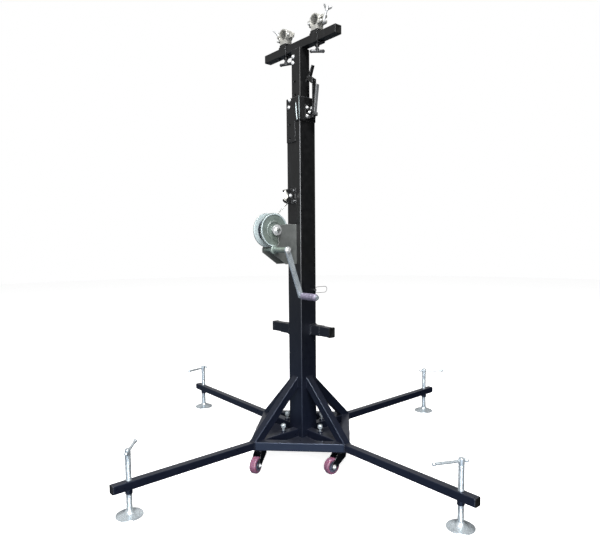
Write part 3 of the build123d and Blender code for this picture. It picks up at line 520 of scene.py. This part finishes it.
def bead_rings(start, end, radius, seed):
    """One straight weld bead: overlapping ripples with a slight wander, tapered at both ends."""
    axis = (end - start).normalized()
    side, over = cross_axes(axis)
    length = (end - start).length
    steps = max(int(length / (0.9 * MM)), 6)
    rings = []
    for k in range(steps + 1):
        t = k / steps
        ripple = 0.84 + 0.16 * abs(math.sin(math.pi * t * length / (2.6 * MM) + seed))
        taper = min(1.0, 6 * t + 0.35, 6 * (1 - t) + 0.35)
        r = radius * ripple * taper * (1 + 0.07 * math.sin(9 * t + 5 * seed))
        at = start + axis * length * t
        rings.append([at + side * u * r + over * v * r for u, v in circle(1.0, 10)])
    return rings


def beads(name, lines, radius, body, slot="black_paint"):
    verts, faces = [], []
    for n, (start, end) in enumerate(lines):
        more, quads = skin(bead_rings(Vector(start), Vector(end), radius, n * 1.7))
        faces += [tuple(k + len(verts) for k in quad) for quad in quads]
        verts += more
    return finish_mesh(name, verts, faces, BLACK, body, slot, 70)


def bead_ring(name, at, axis, radius, thick, body):
    """A weld bead round a boss."""
    side, over = cross_axes(axis)
    steps = int(2 * math.pi * radius / (1.0 * MM))
    path = []
    for k in range(steps):
        angle = 2 * math.pi * k / steps
        path.append(at + (side * math.cos(angle) + over * math.sin(angle)) * radius)
    ripples = round(2 * math.pi * radius / (2.6 * MM))

    def section(k):
        return circle(thick * (0.84 + 0.16 * abs(math.sin(math.pi * ripples * k / steps))), 10)

    return sweep_tube(name, path, section, BLACK, body, "black_paint", True, 70)


# ---- CAD nodes and their materials ----
def give(node, material):
    mesh = NODES[node].data
    mesh.materials.clear()
    mesh.materials.append(material)


def paint_cad():
    by_material = {
        MAST: ["mast_outer"],
        BLACK: ["base_frame", "mast_middle", "mast_inner", "t_bar", "head_collar", "latch_bracket",
                "latch_pawl", "pulley_bracket", "storage_brackets"],
        WINCH: ["winch_drum", "winch_pinion"],
        CHEEK: ["winch_frame"],
        ZINC: ["crank_arm"],
        DARK: ["safety_ring"],
        # The latch release gets the darkened zinc: painted shade.
        SHADE: ["latch_release"],
        FORK: ["caster_plates"],
        NYLON: ["slide_pads", "guide_pulley"],
        ROPE: ["rope", "rope_turns"],
        GRIP: ["crank_grip"],
    }
    for side in SIDES:
        by_material[BLACK].append("outrigger_" + side)
        by_material[FORK].append("caster_fork_" + side)
        by_material[ZINC] += ["outrigger_lock_" + side, "jack_screw_" + side, "jack_bar_" + side,
                              "jack_foot_" + side]
        by_material[TREAD] = by_material.get(TREAD, []) + ["caster_wheel_" + side]
    for side in CLAMP_SIDES:
        by_material[BLACK].append("sleeve_" + side)
        by_material[DARK].append("sleeve_screw_" + side)
        by_material[BOLT] = by_material.get(BOLT, []) + ["clamp_bolt_" + side]
        by_material[ALUMINIUM] = by_material.get(ALUMINIUM, []) + ["clamp_saddle_" + side,
                                                                    "clamp_jaw_" + side]
    for material, names in by_material.items():
        for node in names:
            give(node, material)


# ---- legs and jacks ----
def jack_parts(side):
    node = "jack_screw_" + side
    low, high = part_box(node)
    body = "jack_screw_" + side
    foot = Vector((centre(node).x, centre(node).y, 0))
    crest = (high.x - low.x) / 2
    hub_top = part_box("jack_foot_" + side)[1].z
    plain = high.z - 28 * MM
    core = crest - 1.3 * MM
    profile = [(core * 0.5, low.z), (7 * MM, low.z), (7 * MM, hub_top + MM), (core, hub_top + MM),
               (core, plain), (crest, plain + 1.2 * MM), (crest, high.z - 1.6 * MM), (crest - 2 * MM, high.z)]
    stem = lathe("jack_stem_" + side, fillet(profile, 0.8 * MM), foot, UP, ZINC, body, "zinc", 48)
    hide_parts(node)
    thread("jack_thread_" + side, foot, UP, hub_top + 3 * MM, plain, crest, core - 0.1 * MM, JACK_LEAD, ZINC,
           body, "zinc")
    disc(side, foot)


def disc(side, foot):
    """The foot: a dished disc with a rolled rim and a turned hub."""
    node = "jack_foot_" + side
    low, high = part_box(node)
    rim = (high.x - low.x) / 2
    top = high.z
    shape = [(0.5, 0), (rim / MM - 1.5, 0), (rim / MM, 1.4), (rim / MM, 3.4), (rim / MM - 2.2, 4.6),
             (rim / MM - 5, 5.4), (42, 7.6), (32, 10.8), (24, 14.2), (19, 18.0), (16, 22.5),
             (15, top / MM - 1.5), (13.5, top / MM), (7.2, top / MM), (7.2, 12), (0.5, 12)]
    profile = fillet([(r * MM, z * MM) for r, z in shape], 2.2 * MM, 3)
    made = lathe("foot_disc_" + side, profile, foot, UP, ZINC, "jack_foot_" + side, "zinc", 72)
    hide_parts(node)


def lock_knob(side):
    """A pull knob with a fluted grip, a neck and a collar, standing on its socket."""
    node = "outrigger_lock_" + side
    low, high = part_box(node)
    at = Vector((centre(node).x, centre(node).y, 0))
    pin = 6 * MM
    grip = (high.x - low.x) / 2
    base = high.z - 21 * MM
    shape = [(pin * 0.5, low.z), (pin, low.z + 1 * MM), (pin, base - 3 * MM), (pin + 2 * MM, base - 2 * MM),
             (pin + 2 * MM, base), (grip - 1 * MM, base + 1 * MM), (grip, base + 3 * MM),
             (grip, base + 15 * MM), (grip - 1.2 * MM, base + 17 * MM), (grip - 5 * MM, high.z - 1 * MM),
             (pin * 0.5, high.z)]

    def flutes(height, angle):
        inside = base + 2 * MM < height < base + 16 * MM
        return 1.0 - (0.035 * (1 + math.cos(24 * angle)) if inside else 0.0)

    made = lathe("lock_knob_" + side, fillet(shape, 0.8 * MM), at, UP, ZINC, "lock_" + side, "zinc", 144,
                 flutes)
    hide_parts(node)


def leg_details(side):
    """Weld beads where the leg's boss, brace and frame tubes meet, and the plug in the tube's end."""
    out = axis_of("outrigger_slide_" + side)
    across = UP.cross(out)
    frame_low, frame_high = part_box("base_frame")
    half = SOCKET_HALF
    top = frame_low.z + 2 * half
    reach = frame_high.x

    def spot(along, over, z):
        return out * along + across * over + UP * z

    inner, outer = reach - 62 * MM, reach - 5 * MM
    mast_face = MAST_HALF
    brace_top = frame_high.z
    brace_low = brace_top - 57 * MM
    lines = []
    for s in (-1, 1):
        lines.append((spot(inner, s * half, top), spot(outer + 2 * MM, s * half, top)))
        lines.append((spot(outer, s * half, frame_low.z + 2 * MM), spot(outer, s * half, top)))
        lines.append((spot(inner, s * half, frame_low.z + 2 * MM), spot(inner, s * half, top)))
        lines.append((spot(mast_face, s * (half - MM), brace_low),
                      spot(mast_face, s * (half - MM), brace_top)))
    for z in (brace_low, brace_top):
        lines.append((spot(mast_face, -half + MM, z), spot(mast_face, half - MM, z)))
    lines.append((spot(inner - MM, -half + 3 * MM, top), spot(inner - MM, half - 3 * MM, top)))
    beads("leg_welds_" + side, lines, 1.9 * MM, "stand")

    jack = pivot("jack_turn_" + side)
    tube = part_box("outrigger_" + side)
    mid = frame_low.z + half
    bead_ring("boss_weld_" + side, Vector((jack.x, jack.y, mid - OUTRIGGER_HALF)), UP, 15.4 * MM, 1.7 * MM,
              "outrigger_" + side)
    tip = max(abs(tube[0].dot(out)), abs(tube[1].dot(out)))
    end_cap("leg_plug_" + side, out * tip + UP * mid, out, across, 34 * MM, 34 * MM, 2.4 * MM,
            "outrigger_" + side, "black_paint")


# ---- casters ----
def caster_parts(side):
    hub_at = pivot("caster_roll_" + side)
    axis = axis_of("caster_roll_" + side)
    body = "caster_wheel_" + side
    tread = [(27, -15.6), (34.5, -16), (37.7, -12.2), (38.5, -6), (38.5, 6), (37.7, 12.2), (34.5, 16),
             (27, 15.6)]
    closed = [(r * MM, h * MM) for r, h in tread]
    piece = lathe("tread_" + side, fillet(closed, 2 * MM), hub_at, axis, TREAD, body, "red_tread", 72,
                  bore=True)
    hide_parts("caster_wheel_" + side)
    hub = [(4.1, -17.4), (9, -17.4), (9.6, -13), (12, -10.5), (21, -10.5), (23.5, -14.8), (27.2, -15.0),
           (27.2, 15.0), (23.5, 14.8), (21, 10.5), (12, 10.5), (9.6, 13), (9, 17.4), (4.1, 17.4)]
    closed = [(r * MM, h * MM) for r, h in hub]
    lathe("wheel_hub_" + side, fillet(closed, 1 * MM), hub_at, axis, HUB, body, "nylon", 56, bore=True)
    ribs(side, hub_at, axis, body)
    fork = "caster_fork_" + side
    for sign in (-1, 1):
        at = hub_at + axis * sign * 21.2 * MM
        hex_head("axle_nut_%s_%s" % (side, "ab"[sign > 0]), at, axis * sign, 13 * MM, 6 * MM, fork, "zinc",
                 1.1, stud=2 * MM)
    kingpin = pivot("caster_swivel_" + side)
    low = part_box("caster_plates")[1].z - 4.5 * MM
    race = fillet([(12 * MM, -9 * MM), (22.2 * MM, -9 * MM), (22.6 * MM, -6 * MM), (21.4 * MM, -5 * MM),
                   (22.6 * MM, -4 * MM), (22.2 * MM, -0.2 * MM), (12 * MM, -0.2 * MM)], 1 * MM)
    lathe("race_" + side, race, Vector((kingpin.x, kingpin.y, low)), UP, FORK, fork, "zinc", 56)
    out = axis_of("outrigger_slide_" + side)
    for n, sign in enumerate((-1, 1)):
        at = kingpin + out * sign * 28 * MM
        at.z = low + 0.5 * MM
        hex_head("plate_bolt_%s_%d" % (side, n), at, -UP, 8 * MM, 4 * MM, "stand", "zinc", 1.0)


def ribs(side, at, axis, body):
    """Five moulded ribs across the hub's dish on each face."""
    start, over = cross_axes(axis)
    verts, faces = [], []
    for sign in (-1, 1):
        for k in range(5):
            angle = 2 * math.pi * (k + 0.3) / 5
            out = start * math.cos(angle) + over * math.sin(angle)
            wide = axis.cross(out)
            rings = []
            for r, half, deep in ((9.2, 1.9, 13.5), (15.5, 1.5, 13.0), (23.3, 1.8, 14.5)):
                foot, crown = axis * sign * 10 * MM, axis * sign * deep * MM
                spot = at + out * r * MM
                rings.append([spot + foot - wide * half * MM, spot + foot + wide * half * MM,
                              spot + crown + wide * half * 0.6 * MM, spot + crown - wide * half * 0.6 * MM])
            more, quads = skin(rings)
            faces += [tuple(q + len(verts) for q in quad) for quad in quads]
            verts += more
    finish_mesh("hub_ribs_" + side, verts, faces, HUB, body, "nylon")


# ---- rope ----
def rope_section(radius, lay):
    """Six strands round a core: a lobed outline that turns as it goes along."""
    count = 24

    def section(k):
        points = []
        for n in range(count):
            angle = 2 * math.pi * n / count
            lobe = abs(math.cos(3 * (angle - lay * k)))
            r = radius * (0.80 + 0.20 * lobe)
            points.append((r * math.cos(angle), r * math.sin(angle)))
        return points

    return section


def arc(at, radius, start, end, step):
    count = max(int(abs(end - start) * radius / step), 2)
    angles = [start + (end - start) * n / count for n in range(count + 1)]
    return [Vector((at.x, at.y + radius * math.cos(a), at.z + radius * math.sin(a))) for a in angles]


def straight(start, end, step):
    count = max(int((end - start).length / step), 2)
    return [start.lerp(end, n / count) for n in range(count + 1)]


def ropes():
    low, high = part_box("rope")
    thick = (high.x - low.x) / 2
    x = (high.x + low.x) / 2
    drum, pulley = pivot("drum_turn"), pivot("guide_pulley_turn")
    drum.x = pulley.x = x
    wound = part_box("rope_turns")
    lap = (wound[1].z - wound[0].z) / 2 - thick
    pitch_r = high.y - thick - pulley.y
    gap = pulley - drum
    leave = math.atan2(gap.z, gap.y) + math.acos((lap + pitch_r) / gap.length)
    meet = leave + math.pi - 2 * math.pi
    step = 2.4 * MM
    on_drum = arc(drum, lap, leave - math.radians(250), leave, step)
    on_pulley = arc(pulley, pitch_r, meet, 0.0, step)
    rise = straight(on_pulley[-1], Vector((x, on_pulley[-1].y, high.z)), step)
    path = on_drum[:-1] + straight(on_drum[-1], on_pulley[0], step) + on_pulley[1:-1] + rise
    lay = 2 * math.pi * step / (24 * MM)
    run = sweep_tube("wire_rope", path, rope_section(thick * 0.97, lay), ROPE, "stand", "steel_rope")
    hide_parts("rope")
    loops = round((wound[1].x - wound[0].x) / (2 * thick))
    pitch = (wound[1].x - wound[0].x - 2 * thick) / (loops - 1)
    steps = 84
    for k in range(loops):
        at = Vector((wound[0].x + thick + k * pitch, drum.y, drum.z))
        if abs(at.x - x) < thick:
            continue
        loop = arc(at, lap, 0, 2 * math.pi, 2 * math.pi * lap / steps)[:-1]
        turn = 2 * math.pi / 6 * 8 / len(loop)
        made = sweep_tube("rope_turn_%d" % k, loop, rope_section(thick * 0.98, turn), ROPE, "winch_drum",
                          "steel_rope", True)
        if k == 0:
            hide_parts("rope_turns")


# ---- winch and crank ----
def winch_details():
    drum, crank = pivot("drum_turn"), pivot("crank_turn")
    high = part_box("winch_frame")[1]
    near = 19 * MM
    hex_head("drum_axle_nut", Vector((high.x - 18 * MM, drum.y, drum.z)), AHEAD, 24 * MM, 6 * MM,
             "stand", "zinc", 1.45, stud=3 * MM)
    back = 4 * MM
    for n, (x, z) in enumerate(((-42, 1015), (4, 1015), (4, 1168), (-42, 1168))):
        hex_head("winch_bolt_%d" % n, Vector((x * MM, -50 * MM - back, z * MM)), BEFORE, 11 * MM, 6 * MM,
                 "stand", "zinc", 1.35, stud=1.5 * MM)
    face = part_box("winch_pinion")[1].x - 3 * MM
    hex_head("crank_nut", Vector((face, crank.y, crank.z)), AHEAD, 17 * MM, 7 * MM, "crank", "zinc", 1.3)
    pulley = pivot("guide_pulley_turn")
    hex_head("pulley_axle_nut", Vector((-2 * MM, pulley.y, pulley.z)), AHEAD, 11 * MM, 5 * MM, "stand",
             "zinc", 1.1)
    # These bolts get the darkened zinc: painted shade.
    for n, z in enumerate((1294, 1346)):
        hex_head("pulley_bolt_%d" % n, Vector((12 * MM, -60 * MM, z * MM)), BEFORE, 8 * MM, 2.5 * MM,
                 "stand", "zinc", 1.0, skin_of=SHADE)
    disc_at = Vector((-46.6 * MM, drum.y, drum.z))
    gear_at = Vector((8.9 * MM, drum.y, drum.z))
    # Painted highlight: a bright ring on the far flange's face, where the light falls on it.
    flange = [(57, 0), (60, -1.5), (80, -1.5), (82.5, 0.2), (82.0, 1.8), (76, 2.6), (62, 3.4), (57, 3.0)]
    lathe("drum_flange", fillet([(r * MM, h * MM) for r, h in flange], 1 * MM), disc_at, AHEAD, LIT_ZINC,
          "winch_drum", "zinc", 96, bore=True)
    # Painted shadow: a dark ring inside the far flange stands in for the shaded groove beside the gear rim.
    core = [(40, 0), (59, 0), (59, 7), (56, 9.5), (44, 9.5), (40, 8)]
    lathe("drum_painted_shadow_ring", fillet([(r * MM, h * MM) for r, h in core], 1.5 * MM), disc_at, AHEAD, FORK,
          "winch_drum", "zinc", 96, bore=True)
    # Painted highlight: a bright ring along the gear's front edge.
    rim = [(72.5, 0), (78.6, 0), (79.4, 1.0), (78.6, 2.4), (76.0, 3.0), (73.4, 2.2)]
    lathe("gear_rim", fillet([(r * MM, h * MM) for r, h in rim], 0.8 * MM), gear_at, AHEAD, LIT_ZINC,
          "winch_drum", "zinc", 96, bore=True)
    collar = fillet([(9 * MM, 0), (22 * MM, 0), (22 * MM, 2 * MM), (15 * MM, 4.5 * MM), (9 * MM, 4.5 * MM)],
                    1 * MM)
    lathe("crank_bush", collar, Vector((near, crank.y, crank.z)), AHEAD, WINCH, "stand", "zinc", 48)


def grip():
    """A turned handle with shallow finger waves and a rounded end."""
    low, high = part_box("crank_grip")
    at = pivot("grip_spin")
    at.x = low.x
    full = (high.z - low.z) / 2
    length = high.x - low.x
    shape = [(6.2 * MM, 0), (full - 4 * MM, 0), (full - 0.6 * MM, 3 * MM)]
    for n in range(1, 24):
        t = n / 24
        wave = 0.55 * MM * (1 - math.cos(2 * math.pi * 4 * t))
        shape.append((full - wave, 5 * MM + (length - 19 * MM) * t))
    shape += [(full, length - 12 * MM), (full - 1.5 * MM, length - 5 * MM),
              (full - 6 * MM, length - 0.6 * MM), (full - 9 * MM, length), (6.2 * MM, length)]
    made = lathe("handle_grip", fillet(shape, 2 * MM, 2), at, AHEAD, GRIP, "crank_grip", "grip_plastic", 56)
    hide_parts("crank_grip")


# ---- head ----
def head_details():
    for n, (x, z) in enumerate(((-17.5, 1996), (-20, 1968))):
        hex_head("inner_bolt_%d" % n, Vector((x * MM, -INNER_HALF, z * MM)), BEFORE, 10.5 * MM, 5 * MM,
                 "inner_mast", "zinc", 1.2)
    for n, (x, z) in enumerate(((-23, 1751), (-18, 1784))):
        hex_head("plate_bolt_%d" % n, Vector((x * MM, -57 * MM, z * MM)), BEFORE, 10 * MM, 5 * MM, "stand",
                 "zinc", 1.2)
    latch_face = 62 * MM
    for n, (y, z) in enumerate(((-12, 1701), (16, 1701), (-12, 1741), (16, 1741), (3, 1721))):
        hex_head("latch_bolt_%d" % n, Vector((latch_face, y * MM, z * MM)), AHEAD, 10 * MM, 4.5 * MM,
                 "stand", "zinc", 1.1, stud=1.5 * MM)
    for n, end in enumerate((-1, 1)):
        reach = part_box("t_bar")[1].x
        mid = centre("t_bar").z
        end_cap("bar_plug_%d" % n, Vector((end * reach, 0, mid)), Vector((end, 0, 0)), BESIDE, 39 * MM,
                39 * MM, 1.6 * MM, "inner_mast", "black_paint")
    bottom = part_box("t_bar")[0].z
    half = INNER_HALF
    lines = []
    for s in (-1, 1):
        lines.append((Vector((-half, s * 20 * MM, bottom)), Vector((half, s * 20 * MM, bottom))))
        lines.append((Vector((s * half, -20 * MM, bottom)), Vector((s * half, 20 * MM, bottom))))
    beads("bar_welds", lines, 1.9 * MM, "inner_mast")
    low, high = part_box("head_collar")
    lines = [(Vector((low.x, low.y + 7 * MM, 1600 * MM)), Vector((low.x, low.y + 7 * MM, 1780 * MM))),
             (Vector((50 * MM, high.y, 1690 * MM)), Vector((50 * MM, high.y, 1780 * MM))),
             (Vector((high.x - 7 * MM, -50 * MM, low.z + 97 * MM)),
              Vector((22 * MM, -50 * MM, low.z + 97 * MM)))]
    beads("collar_welds", lines, 1.8 * MM, "stand")
    edge = low.y - 0.2 * MM
    # Painted highlights down the collar's edges: the left strip is a bare cut edge with a painted highlight,
    # and the corner strip is a painted highlight on the bend.
    bare_edge_and_highlight_strip("collar_strip_left", [(34, 1764), (35, 1745), (37, 1720), (40, 1695), (43, 1680)], edge,
                 2.6 * MM, LIT_ZINC)
    bare_edge_and_highlight_strip("collar_strip_corner", [(57, 1790), (58, 1750), (59, 1720), (60, 1680)], edge,
                 2.1 * MM, EDGE)


def bare_edge_and_highlight_strip(name, points, y, radius, material):
    """A bright bead down a plate's edge, thin at both ends: a painted highlight, laid over the bare cut edge
    on the collar's left side.
    """
    path = [Vector((x * MM, y, z * MM)) for x, z in points]
    last = len(path) - 1

    def section(k):
        thick = radius * (1.0 if 0 < k < last else 0.45)
        return [(u * thick, v * thick) for u, v in circle(1.0, 14)]

    sweep_tube(name, path, section, material, "stand", "zinc")


def stow_caps():
    low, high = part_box("storage_brackets")
    for n, sign in enumerate((-1, 1)):
        at = Vector((sign * high.x, sign * 30 * MM, (low.z + high.z) / 2))
        end_cap("stow_cap_%d" % n, at, Vector((sign, 0, 0)), BESIDE, 39 * MM, 50 * MM, 1.8 * MM, "stand",
                "black_paint")


# ---- clamps ----
def clamp_details(side):
    sign = 1 if side == "right" else -1
    body = "clamp_bolt_" + side
    eye = pivot("bolt_swing_" + side)
    lean = math.radians(BOLT_LEAN)
    along = Vector((sign * math.sin(lean), 0, math.cos(lean)))
    thread("swing_thread_" + side, eye, along, 12 * MM, 67.5 * MM, 5.5 * MM, 4.8 * MM, 1.8 * MM, BOLT, body,
           "zinc", 20)
    hinge = pivot("jaw_open_" + side)
    for n, end in enumerate((-1, 1)):
        out = Vector((0, end, 0))
        at = hinge + Vector((0, end * 18.2 * MM, 0))
        head = fillet([(1 * MM, 0), (5.6 * MM, 0), (5.4 * MM, 1.6 * MM), (3.6 * MM, 2.8 * MM),
                       (1 * MM, 3.1 * MM)], 0.6 * MM)
        lathe("hinge_rivet_%s_%d" % (side, n), head, at, out, BOLT, "sleeve_" + side, "zinc", 28)
        at = eye + Vector((0, end * 18.0 * MM, 0))
        lathe("eye_rivet_%s_%d" % (side, n), head, at, out, BOLT, "sleeve_" + side, "zinc", 28)
    screw = pivot("sleeve_screw_turn_" + side)
    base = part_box("sleeve_screw_" + side)[0].z
    at = Vector((screw.x, screw.y, base))
    thread("screw_thread_" + side, at, UP, 21 * MM, 31 * MM, 6.4 * MM, 5.8 * MM, 1.75 * MM, DARK,
           "sleeve_screw_" + side, "zinc", 24)


# ---- stage, light and camera ----
WINDOW = (-0.76, -0.65, 0.0)
BACKDROP = (-0.74, 0.63, 0.24)
FRONT = (0.595, -0.695, -0.404)


def toward(p, side):
    """How far a direction or place lies towards a side of the room: 1 there, -1 away from it."""
    dot = p.node("ShaderNodeVectorMath", operation="DOT_PRODUCT")
    p.link(p.place, dot.inputs[0])
    dot.inputs[1].default_value = side
    return dot.outputs["Value"]


def pale_floor():
    """White to the camera with soft contact shadows; dimmer where the stand mirrors it."""
    p = Paint("pale_floor")
    tone = p.blend(p.noise(3.0, 3.0), (0.90, 0.90, 0.90), (0.885, 0.885, 0.885))
    p.set(Base_Color=tone, Roughness=0.85, Specular_IOR_Level=0.1)
    p.set(Emission_Color=(1, 1, 1, 1), Emission_Strength=0.80)
    p.place = p.node("ShaderNodeNewGeometry").outputs["Incoming"]
    half = p.spread(toward(p, WINDOW), 1.0, -1.0)
    glow = p.math("ADD", p.math("MULTIPLY", p.math("MULTIPLY", half, half), 0.20), 0.01)
    ahead = p.math("POWER", p.spread(toward(p, FRONT), 0.0, -1.0), 8.0)
    mirrored = p.node("ShaderNodeEmission")
    mirrored.inputs["Color"].default_value = (0.66, 0.80, 1.0, 1)
    p.link(p.math("ADD", glow, ahead), mirrored.inputs["Strength"])
    mix = p.node("ShaderNodeMixShader")
    p.link(p.node("ShaderNodeLightPath").outputs["Is Camera Ray"], mix.inputs[0])
    p.link(mirrored.outputs[0], mix.inputs[1])
    p.link(p.shader.outputs["BSDF"], mix.inputs[2])
    output = next(node for node in p.tree.nodes if node.type == "OUTPUT_MATERIAL")
    p.link(mix.outputs[0], output.inputs["Surface"])
    return p.material


def floor():
    """A wide flat disc on the floor plane."""
    segments = 96
    reach = 14.0
    sunk = 0.0006
    points = [(reach * math.cos(2 * math.pi * k / segments),
               reach * math.sin(2 * math.pi * k / segments), -sunk) for k in range(segments)]
    mesh = bpy.data.meshes.new("floor")
    mesh.from_pydata(points, [], [tuple(range(segments))])
    mesh.materials.append(pale_floor())
    sheet = bpy.data.objects.new("floor", mesh)
    bpy.context.scene.collection.objects.link(sheet)


def area_light(name, at, target, power, wide, high, colour=(1, 1, 1)):
    light = bpy.data.lights.new(name, "AREA")
    light.shape = "RECTANGLE"
    light.size, light.size_y = wide, high
    light.energy = power
    light.color = colour
    lamp = bpy.data.objects.new(name, light)
    bpy.context.scene.collection.objects.link(lamp)
    lamp.location = at
    lamp.rotation_mode = "QUATERNION"
    lamp.rotation_quaternion = (Vector(target) - Vector(at)).to_track_quat("-Z", "Y")
    lamp.visible_camera = False


def studio():
    """White behind the stand; what it mirrors is bright on the -Y side and dim on the +X side."""
    world = bpy.data.worlds.new("studio")
    bpy.context.scene.world = world
    sky = Sky(world)
    half = sky.spread(toward(sky, WINDOW), -1.0, 1.0)
    glow = sky.math("MULTIPLY", sky.math("MULTIPLY", half, half), 0.34)
    behind = sky.math("POWER", sky.spread(toward(sky, BACKDROP), 0.0, 1.0), 4.0)
    glow = sky.math("ADD", sky.math("ADD", glow, 0.008), sky.math("MULTIPLY", behind, 0.35))
    lit = sky.math("MAXIMUM", glow, sky.node("ShaderNodeLightPath").outputs["Is Camera Ray"])
    ground = sky.node("ShaderNodeBackground")
    ground.inputs["Color"].default_value = (1, 1, 1, 1)
    sky.link(lit, ground.inputs["Strength"])
    sky.link(ground.outputs[0], sky.node("ShaderNodeOutputWorld").inputs[0])
    bpy.context.scene.view_settings.view_transform = "Standard"
    target = (0, 0, 1.0)
    area_light("front", (3.8, -3.25, 2.0), target, 400, 6.0, 4.0)
    area_light("overhead", (1.6, -1.4, 4.6), target, 330, 1.2, 1.2)


def camera():
    """At the front right, a little above the middle, looking slightly down."""
    azimuth, pitch = math.radians(49.552), math.radians(4.224)
    pan, roll = math.radians(-0.244), math.radians(-0.456)
    ahead = Vector((-math.sin(azimuth), math.cos(azimuth), 0))
    aside = Vector((math.cos(azimuth), math.sin(azimuth), 0))
    ahead = ahead * math.cos(pan) + aside * math.sin(pan)
    aside = ahead.cross(UP)
    look = ahead * math.cos(pitch) - UP * math.sin(pitch)
    top = aside.cross(look)
    right = aside * math.cos(roll) + top * math.sin(roll)
    over = top * math.cos(roll) - aside * math.sin(roll)
    data = bpy.data.cameras.new("camera")
    data.sensor_width = 36.0
    data.lens = 30.959
    data.clip_start, data.clip_end = 0.05, 100.0
    made = bpy.data.objects.new("camera", data)
    bpy.context.scene.collection.objects.link(made)
    turn = Matrix((right, over, -look)).transposed().to_4x4()
    made.matrix_world = Matrix.Translation((1.981, -1.688, 1.096)) @ turn
    bpy.context.scene.camera = made


def build():
    paint_cad()
    for side in SIDES:
        jack_parts(side)
        lock_knob(side)
        leg_details(side)
        caster_parts(side)
    for side in CLAMP_SIDES:
        clamp_details(side)
    ropes()
    winch_details()
    grip()
    head_details()
    stow_caps()
    floor()
    studio()
    camera()


build()
